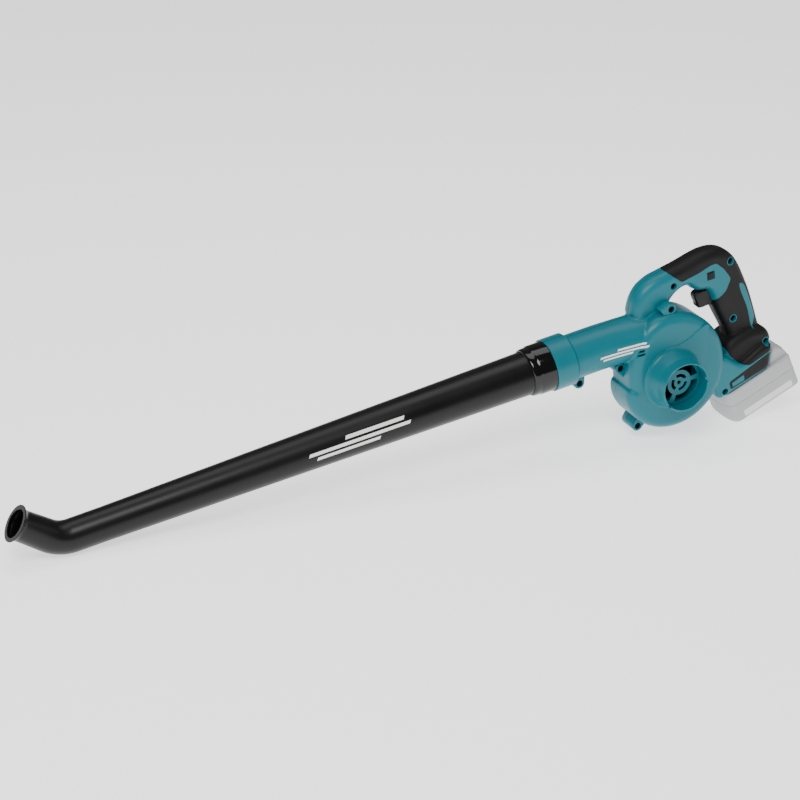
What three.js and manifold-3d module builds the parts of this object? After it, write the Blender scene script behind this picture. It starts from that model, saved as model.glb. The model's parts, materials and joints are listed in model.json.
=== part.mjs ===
// Cordless leaf blower: clamshell with a centrifugal fan, long bayonet nozzle and slide-on battery.
// Millimetres, +Z up. The machine is drawn in its own frame, with the fan axis along Y through the
// origin and the air pipe along -X, and is then pitched nose-down to the pose in which it lies.
import * as THREE from "three";
import { mergeVertices } from "three/addons/utils/BufferGeometryUtils.js";
import Module from "manifold-3d";

const wasm = await Module();
wasm.setup();

// ---------------------------------------------------------------- driving dimensions
const GAP = 0.3; // between faces that touch in the real machine
const WALL = 2.5; // moulded wall of the clamshell
const GRIP_SKIN = 2; // rubber on the handle

const IMPELLER_R = 52;
const TONGUE_GAP = 7.5; // impeller to the volute's tightest wall
const VOLUTE_GROWTH = 31; // how far the volute opens up in three quarters of a turn
const VOLUTE_LEFT = 42; // volute's inlet side face, from the split line
const VOLUTE_RIGHT = 20; // volute's motor side face
const LEFT_EDGE = 14; // rounding of the volute's inlet side edge
const RIGHT_EDGE = 7;

const TUBE_R = 31.4;
const TUBE_START = -139; // where the collar meets the tube
const COLLAR_LENGTH = 29.4;
const COLLAR_WALL = 1.9;
const JOINT_R = 34.5; // nozzle joint, outside
const JOINT_WALL = 3.5;
const JOINT_SHOWN = 33; // length of the joint outside the collar
const PIPE_R = 30.2; // long pipe at its root
const PIPE_TIP_R = 22.1;
const PIPE_WALL = 1.8;
const PIPE_LENGTH = 693.5; // from the collar's rim to the elbow
const TIP_ANGLE = (42.8 * Math.PI) / 180;
const TIP_LENGTH = 64.4;
const TIP_R = 20.4;
const LIP_R = 24.6;

const INLET_R = 35.7;
const INLET_FACE = -77.7;
const GUARD_FACE = -58.7;

const GRIP_HALF = 17.5; // half width of the handle
const GRIP_EDGE = 13; // rounding of the handle's section
const FOOT_HALF = 38.5;
const NECK_HALF = 29;
const NECK_EDGE = 12;

const MOTOR_R = 21;
const MOTOR_LENGTH = 41;
const MOTOR_BAY_R = 34;
const MOTOR_BAY_END = 77;
const SHAFT_R = 2.5;

const PACK_LENGTH = 116;
const PACK_HALF = 37.5;
const PACK_HEIGHT = 52;
const PACK_WALL = 2.4;
const PACK_TILT = (15 * Math.PI) / 180; // rear end up, against the pipe
const TONGUE_HALF = 22;
const TONGUE_HEIGHT = 9;
const CELL_R = 9.2;
const CELL_LENGTH = 65;
const CELL_PITCH = 18.6;

const TRIGGER_HALF = 7;
const SCREW_R = 2;
const SCREW_HEAD_R = 4.1;
const LEAD_R = 1.1;

const ROUND_SIDES = 32; // facets of the large round shapes

// ---------------------------------------------------------------- values that follow
const VOLUTE_START = IMPELLER_R + TONGUE_GAP + WALL;
const VOLUTE_TOP = VOLUTE_START + VOLUTE_GROWTH;
const PIPE_Z = VOLUTE_TOP - TUBE_R; // the pipe's axis, above the fan axis
const COLLAR_RIM = TUBE_START - COLLAR_LENGTH;
const COLLAR_BORE = JOINT_R + GAP;
const COLLAR_R = COLLAR_BORE + COLLAR_WALL;
const PARTITION = VOLUTE_RIGHT - WALL;
const MOTOR_FRONT = VOLUTE_RIGHT + GAP;
const MOTOR_BACK = MOTOR_FRONT + MOTOR_LENGTH;

// ---------------------------------------------------------------- finishes
const finish = (color, roughness, metalness = 0) => ({ color, roughness, metalness });
const TEAL = finish("#178694", 0.42);
const RUBBER = finish("#232326", 0.75);
const BLACK = finish("#1a1a1c", 0.4);
const GLOSS_BLACK = finish("#0b0b0c", 0.12);
const SATIN_BLACK = finish("#161617", 0.38);
const PACK_GREY = finish("#c2c2c2", 0.5);
const STEEL = finish("#9a9da1", 0.3, 1);
const DARK_STEEL = finish("#2a2a2c", 0.4, 1);
const COPPER = finish("#b3703c", 0.35, 1);
const CARBON = finish("#2f2f31", 0.6);
const BOARD = finish("#1e5a34", 0.5);
const CELL_SLEEVE = finish("#2d6aa8", 0.45);

// ---------------------------------------------------------------- solids
// A closed three.js geometry as a solid that can be joined and cut.
function solid(geometry) {
  const bare = geometry.clone();
  bare.deleteAttribute("normal");
  bare.deleteAttribute("uv");
  const merged = mergeVertices(bare, 1e-4);
  const kept = [];
  const index = merged.index.array;
  for (let i = 0; i < index.length; i += 3) {
    const [a, b, c] = [index[i], index[i + 1], index[i + 2]];
    if (a !== b && b !== c && c !== a) kept.push(a, b, c);
  }
  const make = (list) =>
    new wasm.Manifold(
      new wasm.Mesh({
        numProp: 3,
        vertProperties: new Float32Array(merged.attributes.position.array),
        triVerts: new Uint32Array(list),
      }),
    );
  const made = make(kept);
  return made.volume() < 0 ? make(kept.reverse()) : made;
}

function geometryOf(body) {
  const mesh = body.getMesh();
  const geometry = new THREE.BufferGeometry();
  geometry.setAttribute("position", new THREE.BufferAttribute(mesh.vertProperties, 3));
  geometry.setIndex(new THREE.BufferAttribute(mesh.triVerts, 1));
  geometry.computeVertexNormals();
  return geometry;
}

const join = (first, ...others) => others.reduce((sum, other) => sum.add(other), first);
const cut = (first, ...others) => others.reduce((left, other) => left.subtract(other), first);

function box(x0, x1, y0, y1, z0, z1) {
  const geometry = new THREE.BoxGeometry(x1 - x0, y1 - y0, z1 - z0);
  geometry.translate((x0 + x1) / 2, (y0 + y1) / 2, (z0 + z1) / 2);
  return solid(geometry);
}

// A cylinder along Y at (x, z).
function rodY(x, z, y0, y1, radius, sides = 12) {
  const geometry = new THREE.CylinderGeometry(radius, radius, y1 - y0, sides);
  geometry.translate(x, (y0 + y1) / 2, z);
  return solid(geometry);
}

// A turned piece about the Y axis, from [radius, y] pairs that close on themselves or on the axis.
function turnedY(profile, sides = 24) {
  const points = profile.map(([r, y]) => new THREE.Vector2(r, y));
  if (profile[0][0] > 0) points.push(points[0].clone());
  return new THREE.LatheGeometry(points, sides);
}

// A turned piece about the pipe's axis, from [radius, x] pairs.
function turnedX(profile, sides = ROUND_SIDES) {
  const geometry = turnedY(profile, sides);
  geometry.rotateZ(-Math.PI / 2);
  geometry.translate(0, 0, PIPE_Z);
  return geometry;
}

// An outline in the XZ plane given a thickness along Y, with rounded edges. inset shrinks it all over.
function slab(shape, y0, y1, edge = 0, inset = 0, steps = 3, curveSteps = 2) {
  const rounded = edge > 0 || inset !== 0;
  const size = Math.max(edge, 0.01);
  const geometry = new THREE.ExtrudeGeometry(shape, {
    depth: y1 - y0 - (rounded ? 2 * size : 0),
    bevelEnabled: rounded,
    bevelThickness: size,
    bevelSize: size,
    bevelOffset: -size - inset,
    bevelSegments: steps,
    curveSegments: curveSteps,
    steps: 1,
  });
  geometry.translate(0, 0, rounded ? size : 0);
  geometry.rotateX(Math.PI / 2);
  geometry.translate(0, y1, 0);
  return solid(geometry);
}

const shapeOf = (points) => new THREE.Shape(points.map(([x, z]) => new THREE.Vector2(x, z)));

// A smooth closed curve through a few points, as evenly spaced points.
function closedCurve(points, count) {
  const curve = new THREE.CatmullRomCurve3(points.map((p) => new THREE.Vector3(p.x, p.y, 0)), true);
  return curve.getSpacedPoints(count).slice(0, -1).map((p) => new THREE.Vector2(p.x, p.y));
}

// A wire or rod along a smooth route.
function wire(route, radius, steps) {
  const section = new THREE.Shape().absarc(0, 0, radius, 0, 2 * Math.PI);
  const path = new THREE.CatmullRomCurve3(route.map((p) => new THREE.Vector3(...p)));
  return new THREE.ExtrudeGeometry(section, {
    steps,
    bevelEnabled: false,
    extrudePath: path,
    curveSegments: 3,
  });
}

// A helical compression spring along +Z from 0 to length.
class Helix extends THREE.Curve {
  constructor(radius, turns, length) {
    super();
    Object.assign(this, { radius, turns, length });
  }
  getPoint(t, target = new THREE.Vector3()) {
    const angle = 2 * Math.PI * this.turns * t;
    return target.set(
      this.radius * Math.cos(angle),
      this.radius * Math.sin(angle),
      this.length * t,
    );
  }
}

function coilSpring(radius, turns, length, wireR) {
  const section = new THREE.Shape().absarc(0, 0, wireR, 0, 2 * Math.PI);
  const geometry = new THREE.ExtrudeGeometry(section, {
    steps: turns * 9,
    bevelEnabled: false,
    extrudePath: new Helix(radius, turns, length - 2 * wireR),
    curveSegments: 2.5,
  });
  geometry.translate(0, 0, wireR);
  return geometry;
}

const LEFT_SIDE = box(-400, 400, -200, -GAP / 2, -300, 400);
const RIGHT_SIDE = box(-400, 400, GAP / 2, 200, -300, 400);

// ---------------------------------------------------------------- scene graph
const blower = new THREE.Group();
const tool = new THREE.Group(); // the machine in its own frame
blower.add(tool);
const pack = new THREE.Group(); // battery pack: X along the slide, Z out of its top face

function addPiece(name, shape, look, parent = tool) {
  const geometry = geometryOf(shape.isBufferGeometry ? solid(shape) : shape);
  const mesh = new THREE.Mesh(geometry, new THREE.MeshStandardMaterial(look));
  mesh.name = name;
  parent.add(mesh);
  return mesh;
}

// ---------------------------------------------------------------- volute, tube and inlet
// Each half of the air path is drawn as if it went on past the split line, and is cut there later.
// Radius of the volute's wall at a turn of 0 to 1 from its tightest point, at the front, to the top.
const voluteRadius = (turn) => VOLUTE_START + VOLUTE_GROWTH * Math.pow(turn, 0.45);
const VOLUTE_REAR = voluteRadius(2 / 3);

function voluteShape() {
  const shape = new THREE.Shape();
  const steps = 30;
  for (let i = 0; i <= steps; i++) {
    const angle = Math.PI + (i / steps) * 1.5 * Math.PI;
    const r = voluteRadius(i / steps);
    const [x, z] = [r * Math.cos(angle), r * Math.sin(angle)];
    if (i) shape.lineTo(x, z);
    else shape.moveTo(x, z);
  }
  for (let i = 1; i < 7; i++) {
    const angle = ((i / 7) * Math.PI) / 2;
    shape.lineTo(-VOLUTE_START * Math.sin(angle), VOLUTE_TOP * Math.cos(angle));
  }
  return shape;
}

// The outlet duct: round in the tube, and widened or narrowed sideways to each volute face.
function outletDuct(side, inset) {
  const from = -100;
  const length = 98;
  const radius = TUBE_R - inset;
  const face = (side < 0 ? VOLUTE_LEFT : VOLUTE_RIGHT) - inset;
  const geometry = new THREE.CylinderGeometry(radius, radius, length, ROUND_SIDES, 4);
  geometry.rotateZ(-Math.PI / 2);
  const place = geometry.attributes.position;
  for (let i = 0; i < place.count; i++) {
    const share = THREE.MathUtils.smoothstep(place.getX(i), -length / 2, length / 2);
    place.setY(i, place.getY(i) * (1 + share * (face / radius - 1)));
  }
  geometry.translate(from + length / 2, 0, PIPE_Z);
  return solid(geometry);
}

const roundTube = (x0, x1, radius) => {
  const profile = [
    [0, x0],
    [radius, x0],
    [radius, x1],
    [0, x1],
  ];
  return solid(turnedX(profile));
};

// Collar that holds the nozzle joint, stepped down to the tube.
const collar = () =>
  solid(
    turnedX([
      [0, COLLAR_RIM],
      [COLLAR_R, COLLAR_RIM],
      [COLLAR_R, TUBE_START + 2],
      [TUBE_R - 0.5, TUBE_START + 5.5],
      [0, TUBE_START + 5.5],
    ]),
  );

function airPath(side, inset) {
  const [face, edge] = side < 0 ? [VOLUTE_LEFT, LEFT_EDGE] : [VOLUTE_RIGHT, RIGHT_EDGE];
  const volute = slab(voluteShape(), inset - face, face - inset, edge - inset, inset, inset > 0 ? 2 : 3);
  return join(volute, outletDuct(side, inset), roundTube(TUBE_START - 1, -99, TUBE_R - inset));
}

// Raised boss and rim that the air enters through.
function inletBoss() {
  const profile = [
    [30.5, -VOLUTE_LEFT + 3],
    [43.5, -VOLUTE_LEFT + 3],
    [43, -VOLUTE_LEFT - 0.5],
    [38.6, -53],
    [INLET_R, -61],
    [INLET_R, INLET_FACE],
    [INLET_R - WALL, INLET_FACE],
    [INLET_R - WALL, GUARD_FACE + 2.8],
    [30.5, GUARD_FACE + 2.8],
  ];
  return solid(turnedY(profile, ROUND_SIDES));
}

// Low teardrop step on the inlet side, round the boss and off towards the handle.
function inletStep() {
  const step = 0.9;
  const radius = INLET_R + 10.5;
  const round = rodY(0, 0, -VOLUTE_LEFT - step, -VOLUTE_LEFT + 3, radius, ROUND_SIDES);
  const tail = slab(
    shapeOf([
      [-8, radius - 0.6],
      [VOLUTE_REAR * 0.25, radius + 2],
      [VOLUTE_REAR * 0.56, radius + 10],
      [VOLUTE_REAR * 0.62, radius - 4],
      [VOLUTE_REAR * 0.55, 0],
      [0, 0],
    ]),
    -VOLUTE_LEFT - step,
    -VOLUTE_LEFT + 3,
    0.4,
    0,
    1,
  );
  return join(round, tail);
}

function inletNotches() {
  return [0, (215 * Math.PI) / 180].map((angle) => {
    const geometry = new THREE.BoxGeometry(3.4, 7, 7);
    geometry.translate(INLET_R - WALL + 0.2, INLET_FACE + 3, 0);
    geometry.rotateY(-angle);
    return solid(geometry);
  });
}

// ---------------------------------------------------------------- handle, neck and foot
// The handle is drawn from the corner where the volute's rear and top tangents meet.
const fromHandle = ([x, z]) => new THREE.Vector2(VOLUTE_REAR + x, VOLUTE_TOP + z);
const at = (x, z) => [VOLUTE_REAR + x, VOLUTE_TOP + z];

const HANDLE_OUTSIDE = [
  [-125, 6],
  [-118, 23],
  [-106, 37],
  [-88, 46],
  [-66, 50],
  [-42, 54],
  [-16, 59.5],
  [0, 61],
  [16, 59],
  [30, 52],
  [41, 40],
  [49, 24],
  [55, 6],
  [62, -18],
  [68, -46],
  [72, -68],
  [76, -86],
  [80, -96],
  [77, -110],
];
const HANDLE_INSIDE = [
  [-72, -5],
  [-63, 7],
  [-53, 15],
  [-42, 19],
  [-34, 18],
  [-27, 11],
  [-18, 5.5],
  [-5, 2],
  [1, -11],
  [4, -27],
  [9, -42],
  [16, -60],
  [21, -75],
  [19, -84],
  [8, -87],
  [-6, -86],
  [-17, -58],
  [-34, -36],
  [-55, -20],
];

function handleShape() {
  const outside = new THREE.SplineCurve(HANDLE_OUTSIDE.map(fromHandle)).getPoints(26);
  const under = [
    [70, -124],
    [12, -138],
    [-30, -124],
    [-78, -63],
    [-124, -16],
  ];
  const shape = new THREE.Shape([...outside, ...under.map(fromHandle)]);
  const inside = closedCurve(HANDLE_INSIDE.map(fromHandle), 22).reverse(); // holes wind the other way
  shape.holes.push(new THREE.Path(inside));
  return shape;
}

const NECK = [
  [14, -84],
  [40, -74],
  [70, -76],
  [83, -92],
  [77, -110],
  [40, -130],
  [14, -126],
  [6, -104],
];
const neckShape = () => new THREE.Shape(closedCurve(NECK.map(fromHandle), 16));

// The foot's side outline and the pack's place use the pack's slide direction (u) and its normal (w).
const PACK_ORIGIN = at(-6.5, -157.8);
const packPoint = (u, w) => [
  PACK_ORIGIN[0] + u * Math.cos(PACK_TILT) - w * Math.sin(PACK_TILT),
  PACK_ORIGIN[1] + u * Math.sin(PACK_TILT) + w * Math.cos(PACK_TILT),
];
pack.position.set(PACK_ORIGIN[0], 0, PACK_ORIGIN[1]);
pack.rotation.y = -PACK_TILT;
pack.updateMatrix();

const FOOT_BOTTOM = 0.5;
const footOutline = [
  [-9, FOOT_BOTTOM],
  [79, FOOT_BOTTOM],
  [93, 25],
  [96.5, 37.5],
  [78, 40],
  [41, 33],
  [24, 60],
  [-9, 64],
];
const footShape = () => shapeOf(footOutline.map(([u, w]) => packPoint(u, w)));

// A box in the pack's frame, as a solid in the machine's frame.
function packBox(u0, u1, y0, y1, w0, w1) {
  const geometry = new THREE.BoxGeometry(u1 - u0, y1 - y0, w1 - w0);
  geometry.translate((u0 + u1) / 2, (y0 + y1) / 2, (w0 + w1) / 2);
  geometry.applyMatrix4(pack.matrix);
  return solid(geometry);
}

// Handle, neck and foot together, shrunk all over by an inset.
function handleBody(inset) {
  const steps = inset > 0 ? 2 : 3;
  const handle = slab(handleShape(), inset - GRIP_HALF, GRIP_HALF - inset, GRIP_EDGE - inset, inset, steps);
  const neck = slab(neckShape(), inset - NECK_HALF, NECK_HALF - inset, NECK_EDGE - inset, inset, steps);
  const foot = slab(footShape(), inset - FOOT_HALF, FOOT_HALF - inset, Math.max(8 - inset, 1), inset, steps - 1);
  return join(handle, neck, foot);
}

// Where the soft grip covers the handle.
const gripShape = () =>
  shapeOf(
    [
      [-66, 70],
      [-73, 57],
      [-47, 31],
      [-17, 36],
      [0, 41],
      [9, 41],
      [21, 28],
      [30, 11],
      [21, -5],
      [-2, -20],
      [-12, -34],
      [4, -66],
      [10, -92],
      [14, -103],
      [25, -115],
      [38, -120],
      [78, -107],
      [100, -105],
      [100, 70],
    ].map(([x, z]) => at(x, z)),
  );
const gripZone = (inset) => slab(gripShape(), -60, 60, 0, inset);

// Duct on the motor side that takes the leads from the foot to the motor.
const leadDuctShape = () =>
  shapeOf([
    [8, -34],
    packPoint(2, 8),
    packPoint(20, 34),
    [20, -6],
  ]);

// ---------------------------------------------------------------- clamshell screws
// Centre, seat of the head (y), and whether it stands in a lug outside the shell.
const SCREWS = [
  { place: [TUBE_START + 12, PIPE_Z - TUBE_R - 7], seat: -7, lug: [0, 12] },
  { place: [-VOLUTE_START - 2.5, PIPE_Z - TUBE_R - 4.5], seat: -11, lug: [10, -8] },
  { place: [13, VOLUTE_TOP + 4.5], seat: -28, lug: [-12, -6] },
  { place: at(-60, 29), seat: -11 },
  { place: [-50, -69], seat: -16, lug: [16, 18] },
  { place: packPoint(4, 9.5), seat: -20 },
  { place: at(29, -51), seat: -11 },
  { place: at(32, 36.5), seat: -10 },
  { place: at(72, -97), seat: -14 },
];
const LUG_R = 8;
const COLUMN_R = 5.4;
const SCREW_TIP = 7; // how far each screw reaches past the split line

function lug({ place: [x, z], seat, lug: [dx, dz] }) {
  const outer = seat - 4;
  const towards = Math.atan2(dz, dx);
  const reach = Math.hypot(dx, dz);
  const body = new THREE.Shape().absarc(0, 0, LUG_R, Math.PI / 2, (3 * Math.PI) / 2);
  body.lineTo(reach, -LUG_R - 2);
  body.lineTo(reach, LUG_R + 2);
  const geometry = new THREE.ExtrudeGeometry(body, {
    depth: 12 - outer - 3,
    bevelThickness: 1.5,
    bevelSize: 1.5,
    bevelOffset: -1.5,
    bevelSegments: 2,
    curveSegments: 8,
  });
  geometry.translate(0, 0, 1.5);
  geometry.rotateX(Math.PI / 2);
  geometry.rotateY(-towards);
  geometry.translate(x, 12, z);
  return solid(geometry);
}

const column = ({ place: [x, z] }) => rodY(x, z, -30, 11, COLUMN_R);
const screwHole = ({ place: [x, z], seat }) =>
  join(
    rodY(x, z, seat - 40, seat, SCREW_HEAD_R + 0.7),
    rodY(x, z, seat - 1, SCREW_TIP + 1.5, SCREW_R + GAP, 8),
  );

function screwGeometry(length, shankR, headR, headHeight) {
  const profile = [
    [0, length],
    [shankR, length - 2],
    [shankR, 0],
    [headR, 0],
    [headR, -headHeight * 0.6],
    [headR * 0.7, -headHeight],
    [0, -headHeight],
  ];
  return turnedY(profile, 9);
}

// ---------------------------------------------------------------- openings in the clamshell
const TRIGGER_BOTTOM = -24.5;
const TRIGGER_TOP = 1.5;
const TRIGGER_BACK = 11;
const TRIGGER_TRAVEL = 7;
const STOP = { middle: -12, deep: 1.6, reach: 1.6, low: 7, high: 6 }; // ears at the trigger's back
const BUTTON = { x: -1, z: 25.7, half: 5.8 };

// Slot for the trigger, and room behind it for the ears that stop the trigger falling out.
function triggerSlot() {
  const [x0, z0] = at(-21, TRIGGER_BOTTOM - 0.8);
  const [x1, z1] = at(13, TRIGGER_TOP + 0.8);
  const [stopX, stopZ] = at(TRIGGER_BACK - STOP.deep, STOP.middle);
  const half = TRIGGER_HALF + STOP.reach + GAP;
  const room = box(
    stopX - GAP,
    stopX + STOP.deep + TRIGGER_TRAVEL + GAP,
    -half,
    half,
    stopZ - STOP.low - GAP,
    stopZ + STOP.high + GAP,
  );
  return join(box(x0, x1, -TRIGGER_HALF - 0.5, TRIGGER_HALF + 0.5, z0, z1), room);
}

function buttonBox(grow, y0, y1) {
  const [x, z] = at(BUTTON.x, BUTTON.z);
  const half = BUTTON.half + grow;
  return box(x - half, x + half, y0, y1, z - half, z + half);
}

// Cage inside the left half that guides the lock button and seats its spring.
const buttonCage = () =>
  cut(buttonBox(2.6, -GRIP_HALF + 3, -0.3), buttonBox(0.5, -GRIP_HALF - 5, -2));

// Channel in the foot's underside for the pack's tongue, open at the rear, with a groove for the latch.
function packChannel() {
  const start = 11.5;
  const end = 110;
  return join(
    packBox(start, end, -TONGUE_HALF - 0.5, TONGUE_HALF + 0.5, -5, TONGUE_HEIGHT + 1),
    packBox(start, end, -TONGUE_HALF - 4.5, TONGUE_HALF + 4.5, 4, 7.5),
    packBox(69.5, end, -9, 9, TONGUE_HEIGHT, 14.5),
  );
}

const terminalWindow = (grow) => packBox(14 - grow, 44 + grow, -20 - grow, 20 + grow, 8, 16.5);

// Solid floor over the channel, so that the foot's hollow stays above it.
const channelRoof = () =>
  packBox(-20, 110, -60, 60, -30, TONGUE_HEIGHT + 1 + WALL)
    .add(packBox(66.5, 110, -12, 12, 0, 17.5));

function motorBay(inset) {
  const outer = MOTOR_BAY_R - inset;
  const end = MOTOR_BAY_END - inset;
  const start = inset ? VOLUTE_RIGHT : PARTITION;
  const round = 6 - inset;
  return solid(
    turnedY(
      [
        [0, start],
        [outer, start],
        [outer, end - round],
        [outer - round * 0.3, end - round * 0.3],
        [outer - round, end],
        [0, end],
      ],
      ROUND_SIDES,
    ),
  );
}

function motorVents() {
  const slots = [];
  const count = 9;
  for (let i = 0; i < count; i++) {
    const geometry = new THREE.BoxGeometry(13, 8, 3.2);
    geometry.translate(18.5, MOTOR_BAY_END, 0);
    geometry.rotateY((2 * Math.PI * i) / count);
    slots.push(solid(geometry));
  }
  for (let i = -2; i <= 2; i++) {
    slots.push(box(-MOTOR_BAY_R - 3, -MOTOR_BAY_R + 6, 30, 60, i * 7 - 1.6, i * 7 + 1.6));
  }
  return slots;
}

const MOTOR_SCREW_X = 12.5;
const partitionHoles = () => [
  rodY(0, 0, PARTITION - 1, VOLUTE_RIGHT + 1, 8.8, 16),
  ...[-1, 1].map((s) => rodY(s * MOTOR_SCREW_X, 0, PARTITION - 1, VOLUTE_RIGHT + 1, 1.7, 8)),
];

// Bayonet pins inside the collar, above and below.
const PIN_DEPTH = 1.5;
const RELEASE_TURN = Math.PI / 6; // twist that frees the nozzle
function bayonetPins(grow, turn = 0) {
  return [0, Math.PI].map((angle) => {
    const geometry = new THREE.BoxGeometry(4 + 2 * grow, 5 + 2 * grow, 3 + 2 * grow);
    geometry.translate(TUBE_START - 14, 0, COLLAR_BORE + 1.5 - PIN_DEPTH);
    geometry.rotateX(angle + turn);
    geometry.translate(0, 0, PIPE_Z);
    return solid(geometry);
  });
}

const FOOT_PANEL = [
  [13, 7],
  [76, 5],
  [85.5, 24],
  [50, 22],
  [14.5, 19],
];
const panelZone = (side, inset) => {
  const shape = shapeOf(FOOT_PANEL.map(([u, w]) => packPoint(u, w)));
  const near = FOOT_HALF - 1.6;
  return side < 0 ? slab(shape, -50, -near, 0, inset) : slab(shape, near, 50, 0, inset);
};

// ---------------------------------------------------------------- clamshell halves and grips
function housingHalf(side) {
  const half = side < 0 ? LEFT_SIDE : RIGHT_SIDE;
  const shell = airPath(side, 0);
  let outer = join(
    shell,
    collar(),
    cut(handleBody(0), gripZone(-GAP)),
    handleBody(GRIP_SKIN + GAP),
    ...SCREWS.filter((s) => s.lug).map(lug),
  );
  if (side < 0) outer = join(outer, inletBoss(), inletStep());
  else outer = join(outer, motorBay(0), slab(leadDuctShape(), PARTITION, 41, 3, 0, 2));

  const hollow = handleBody(GRIP_SKIN + GAP + WALL);
  const keep = [shell, channelRoof()];
  let inside = cut(hollow, ...keep);
  if (side > 0) {
    inside = join(
      inside,
      motorBay(WALL),
      cut(slab(leadDuctShape(), VOLUTE_RIGHT, 41 - WALL, 1, WALL, 1), channelRoof()),
    );
  }
  const air = join(
    airPath(side, WALL),
    roundTube(COLLAR_RIM - 1, TUBE_START, COLLAR_BORE),
    roundTube(TUBE_START - 1, TUBE_START + 6, TUBE_R - WALL),
  );
  const columns = join(...SCREWS.map(column)).intersect(outer);
  let body = cut(outer, inside, air);
  body = join(body, cut(columns, air));
  if (side < 0) {
    body = cut(body, rodY(0, 0, -60, -VOLUTE_LEFT + 4, 30.5, ROUND_SIDES), ...inletNotches());
    body = join(body, buttonCage());
    body = cut(body, buttonBox(0.4, -40, -GRIP_HALF + 6));
  } else {
    body = cut(body, ...partitionHoles(), ...motorVents());
  }
  body = join(body, ...bayonetPins(0));
  body = cut(
    body,
    triggerSlot(),
    packChannel(),
    terminalWindow(GAP),
    panelZone(side, 0),
    ...SCREWS.map(screwHole),
  );
  return mainBody(body.intersect(half));
}

// The largest of a solid's separate bodies: booleans can leave crumbs where edges graze each other.
function mainBody(body) {
  const pieces = body.decompose();
  return pieces.reduce((best, piece) => (piece.volume() > best.volume() ? piece : best));
}

function grip(side) {
  const half = side < 0 ? LEFT_SIDE : RIGHT_SIDE;
  const skin = cut(handleBody(0), handleBody(GRIP_SKIN)).intersect(gripZone(0));
  return mainBody(
    cut(
      skin.intersect(half),
      airPath(side, -GAP),
      packChannel(),
      triggerSlot(),
      ...SCREWS.map(({ place: [x, z], seat }) => rodY(x, z, -60, seat + 3, SCREW_HEAD_R + 1.8)),
      slab(footShape(), -60, 60, 0, -40).intersect(packBox(-20, 120, -60, 60, -40, 14)),
    ),
  );
}

function footPanel(side) {
  const foot = slab(footShape(), -FOOT_HALF, FOOT_HALF, 8, 0, 3);
  return mainBody(foot.intersect(panelZone(side, GAP)).subtract(slabFace(side)));
}
// Clearance behind a foot panel.
const slabFace = (side) => {
  const near = FOOT_HALF - 1.6 + GAP;
  return side < 0 ? box(-400, 400, -near, 0, -400, 400) : box(-400, 400, 0, near, -400, 400);
};

function inletGuard() {
  const outer = INLET_R - WALL - GAP;
  const disc = solid(
    turnedY(
      [
        [2.6, GUARD_FACE],
        [outer, GUARD_FACE],
        [outer, GUARD_FACE + 2.5],
        [2.6, GUARD_FACE + 2.5],
      ],
      ROUND_SIDES,
    ),
  );
  const arcSlot = (r0, r1, from, span) => {
    const shape = new THREE.Shape().absarc(0, 0, r1, from, from + span);
    shape.absarc(0, 0, r0, from + span, from, true);
    return slab(shape, GUARD_FACE - 5, GUARD_FACE + 5, 0, 0, 1, 4);
  };
  const slots = [];
  for (let i = 0; i < 3; i++) {
    slots.push(arcSlot(8, 12.5, 0.35 + (i * 2 * Math.PI) / 3, 1.55));
    slots.push(arcSlot(18.5, 29.5, 0.15 + (i * 2 * Math.PI) / 3, 1.8));
  }
  return cut(disc, ...slots);
}

// ---------------------------------------------------------------- nozzle
function nozzleJoint() {
  const inner = JOINT_R - JOINT_WALL;
  const back = TUBE_START - GAP;
  const front = COLLAR_RIM - JOINT_SHOWN;
  const profile = [
    [inner, back],
    [JOINT_R, back],
    [JOINT_R, COLLAR_RIM - 21],
    [JOINT_R - 1, COLLAR_RIM - 22.5],
    [JOINT_R - 1.4, front + 2],
    [JOINT_R - 2.4, front],
    [PIPE_R + GAP, front],
    [PIPE_R + GAP, front + 26],
    [inner, front + 26.6],
  ];
  const body = solid(turnedX(profile));
  const grooves = [];
  for (let step = 0; step <= 3; step++) grooves.push(...bayonetPins(0.5, (-step / 3) * RELEASE_TURN));
  const exits = bayonetPins(0.5, -RELEASE_TURN);
  for (const step of [4, 8, 12]) grooves.push(...exits.map((pin) => pin.translate([step, 0, 0])));
  return cut(body, ...grooves);
}

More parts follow.
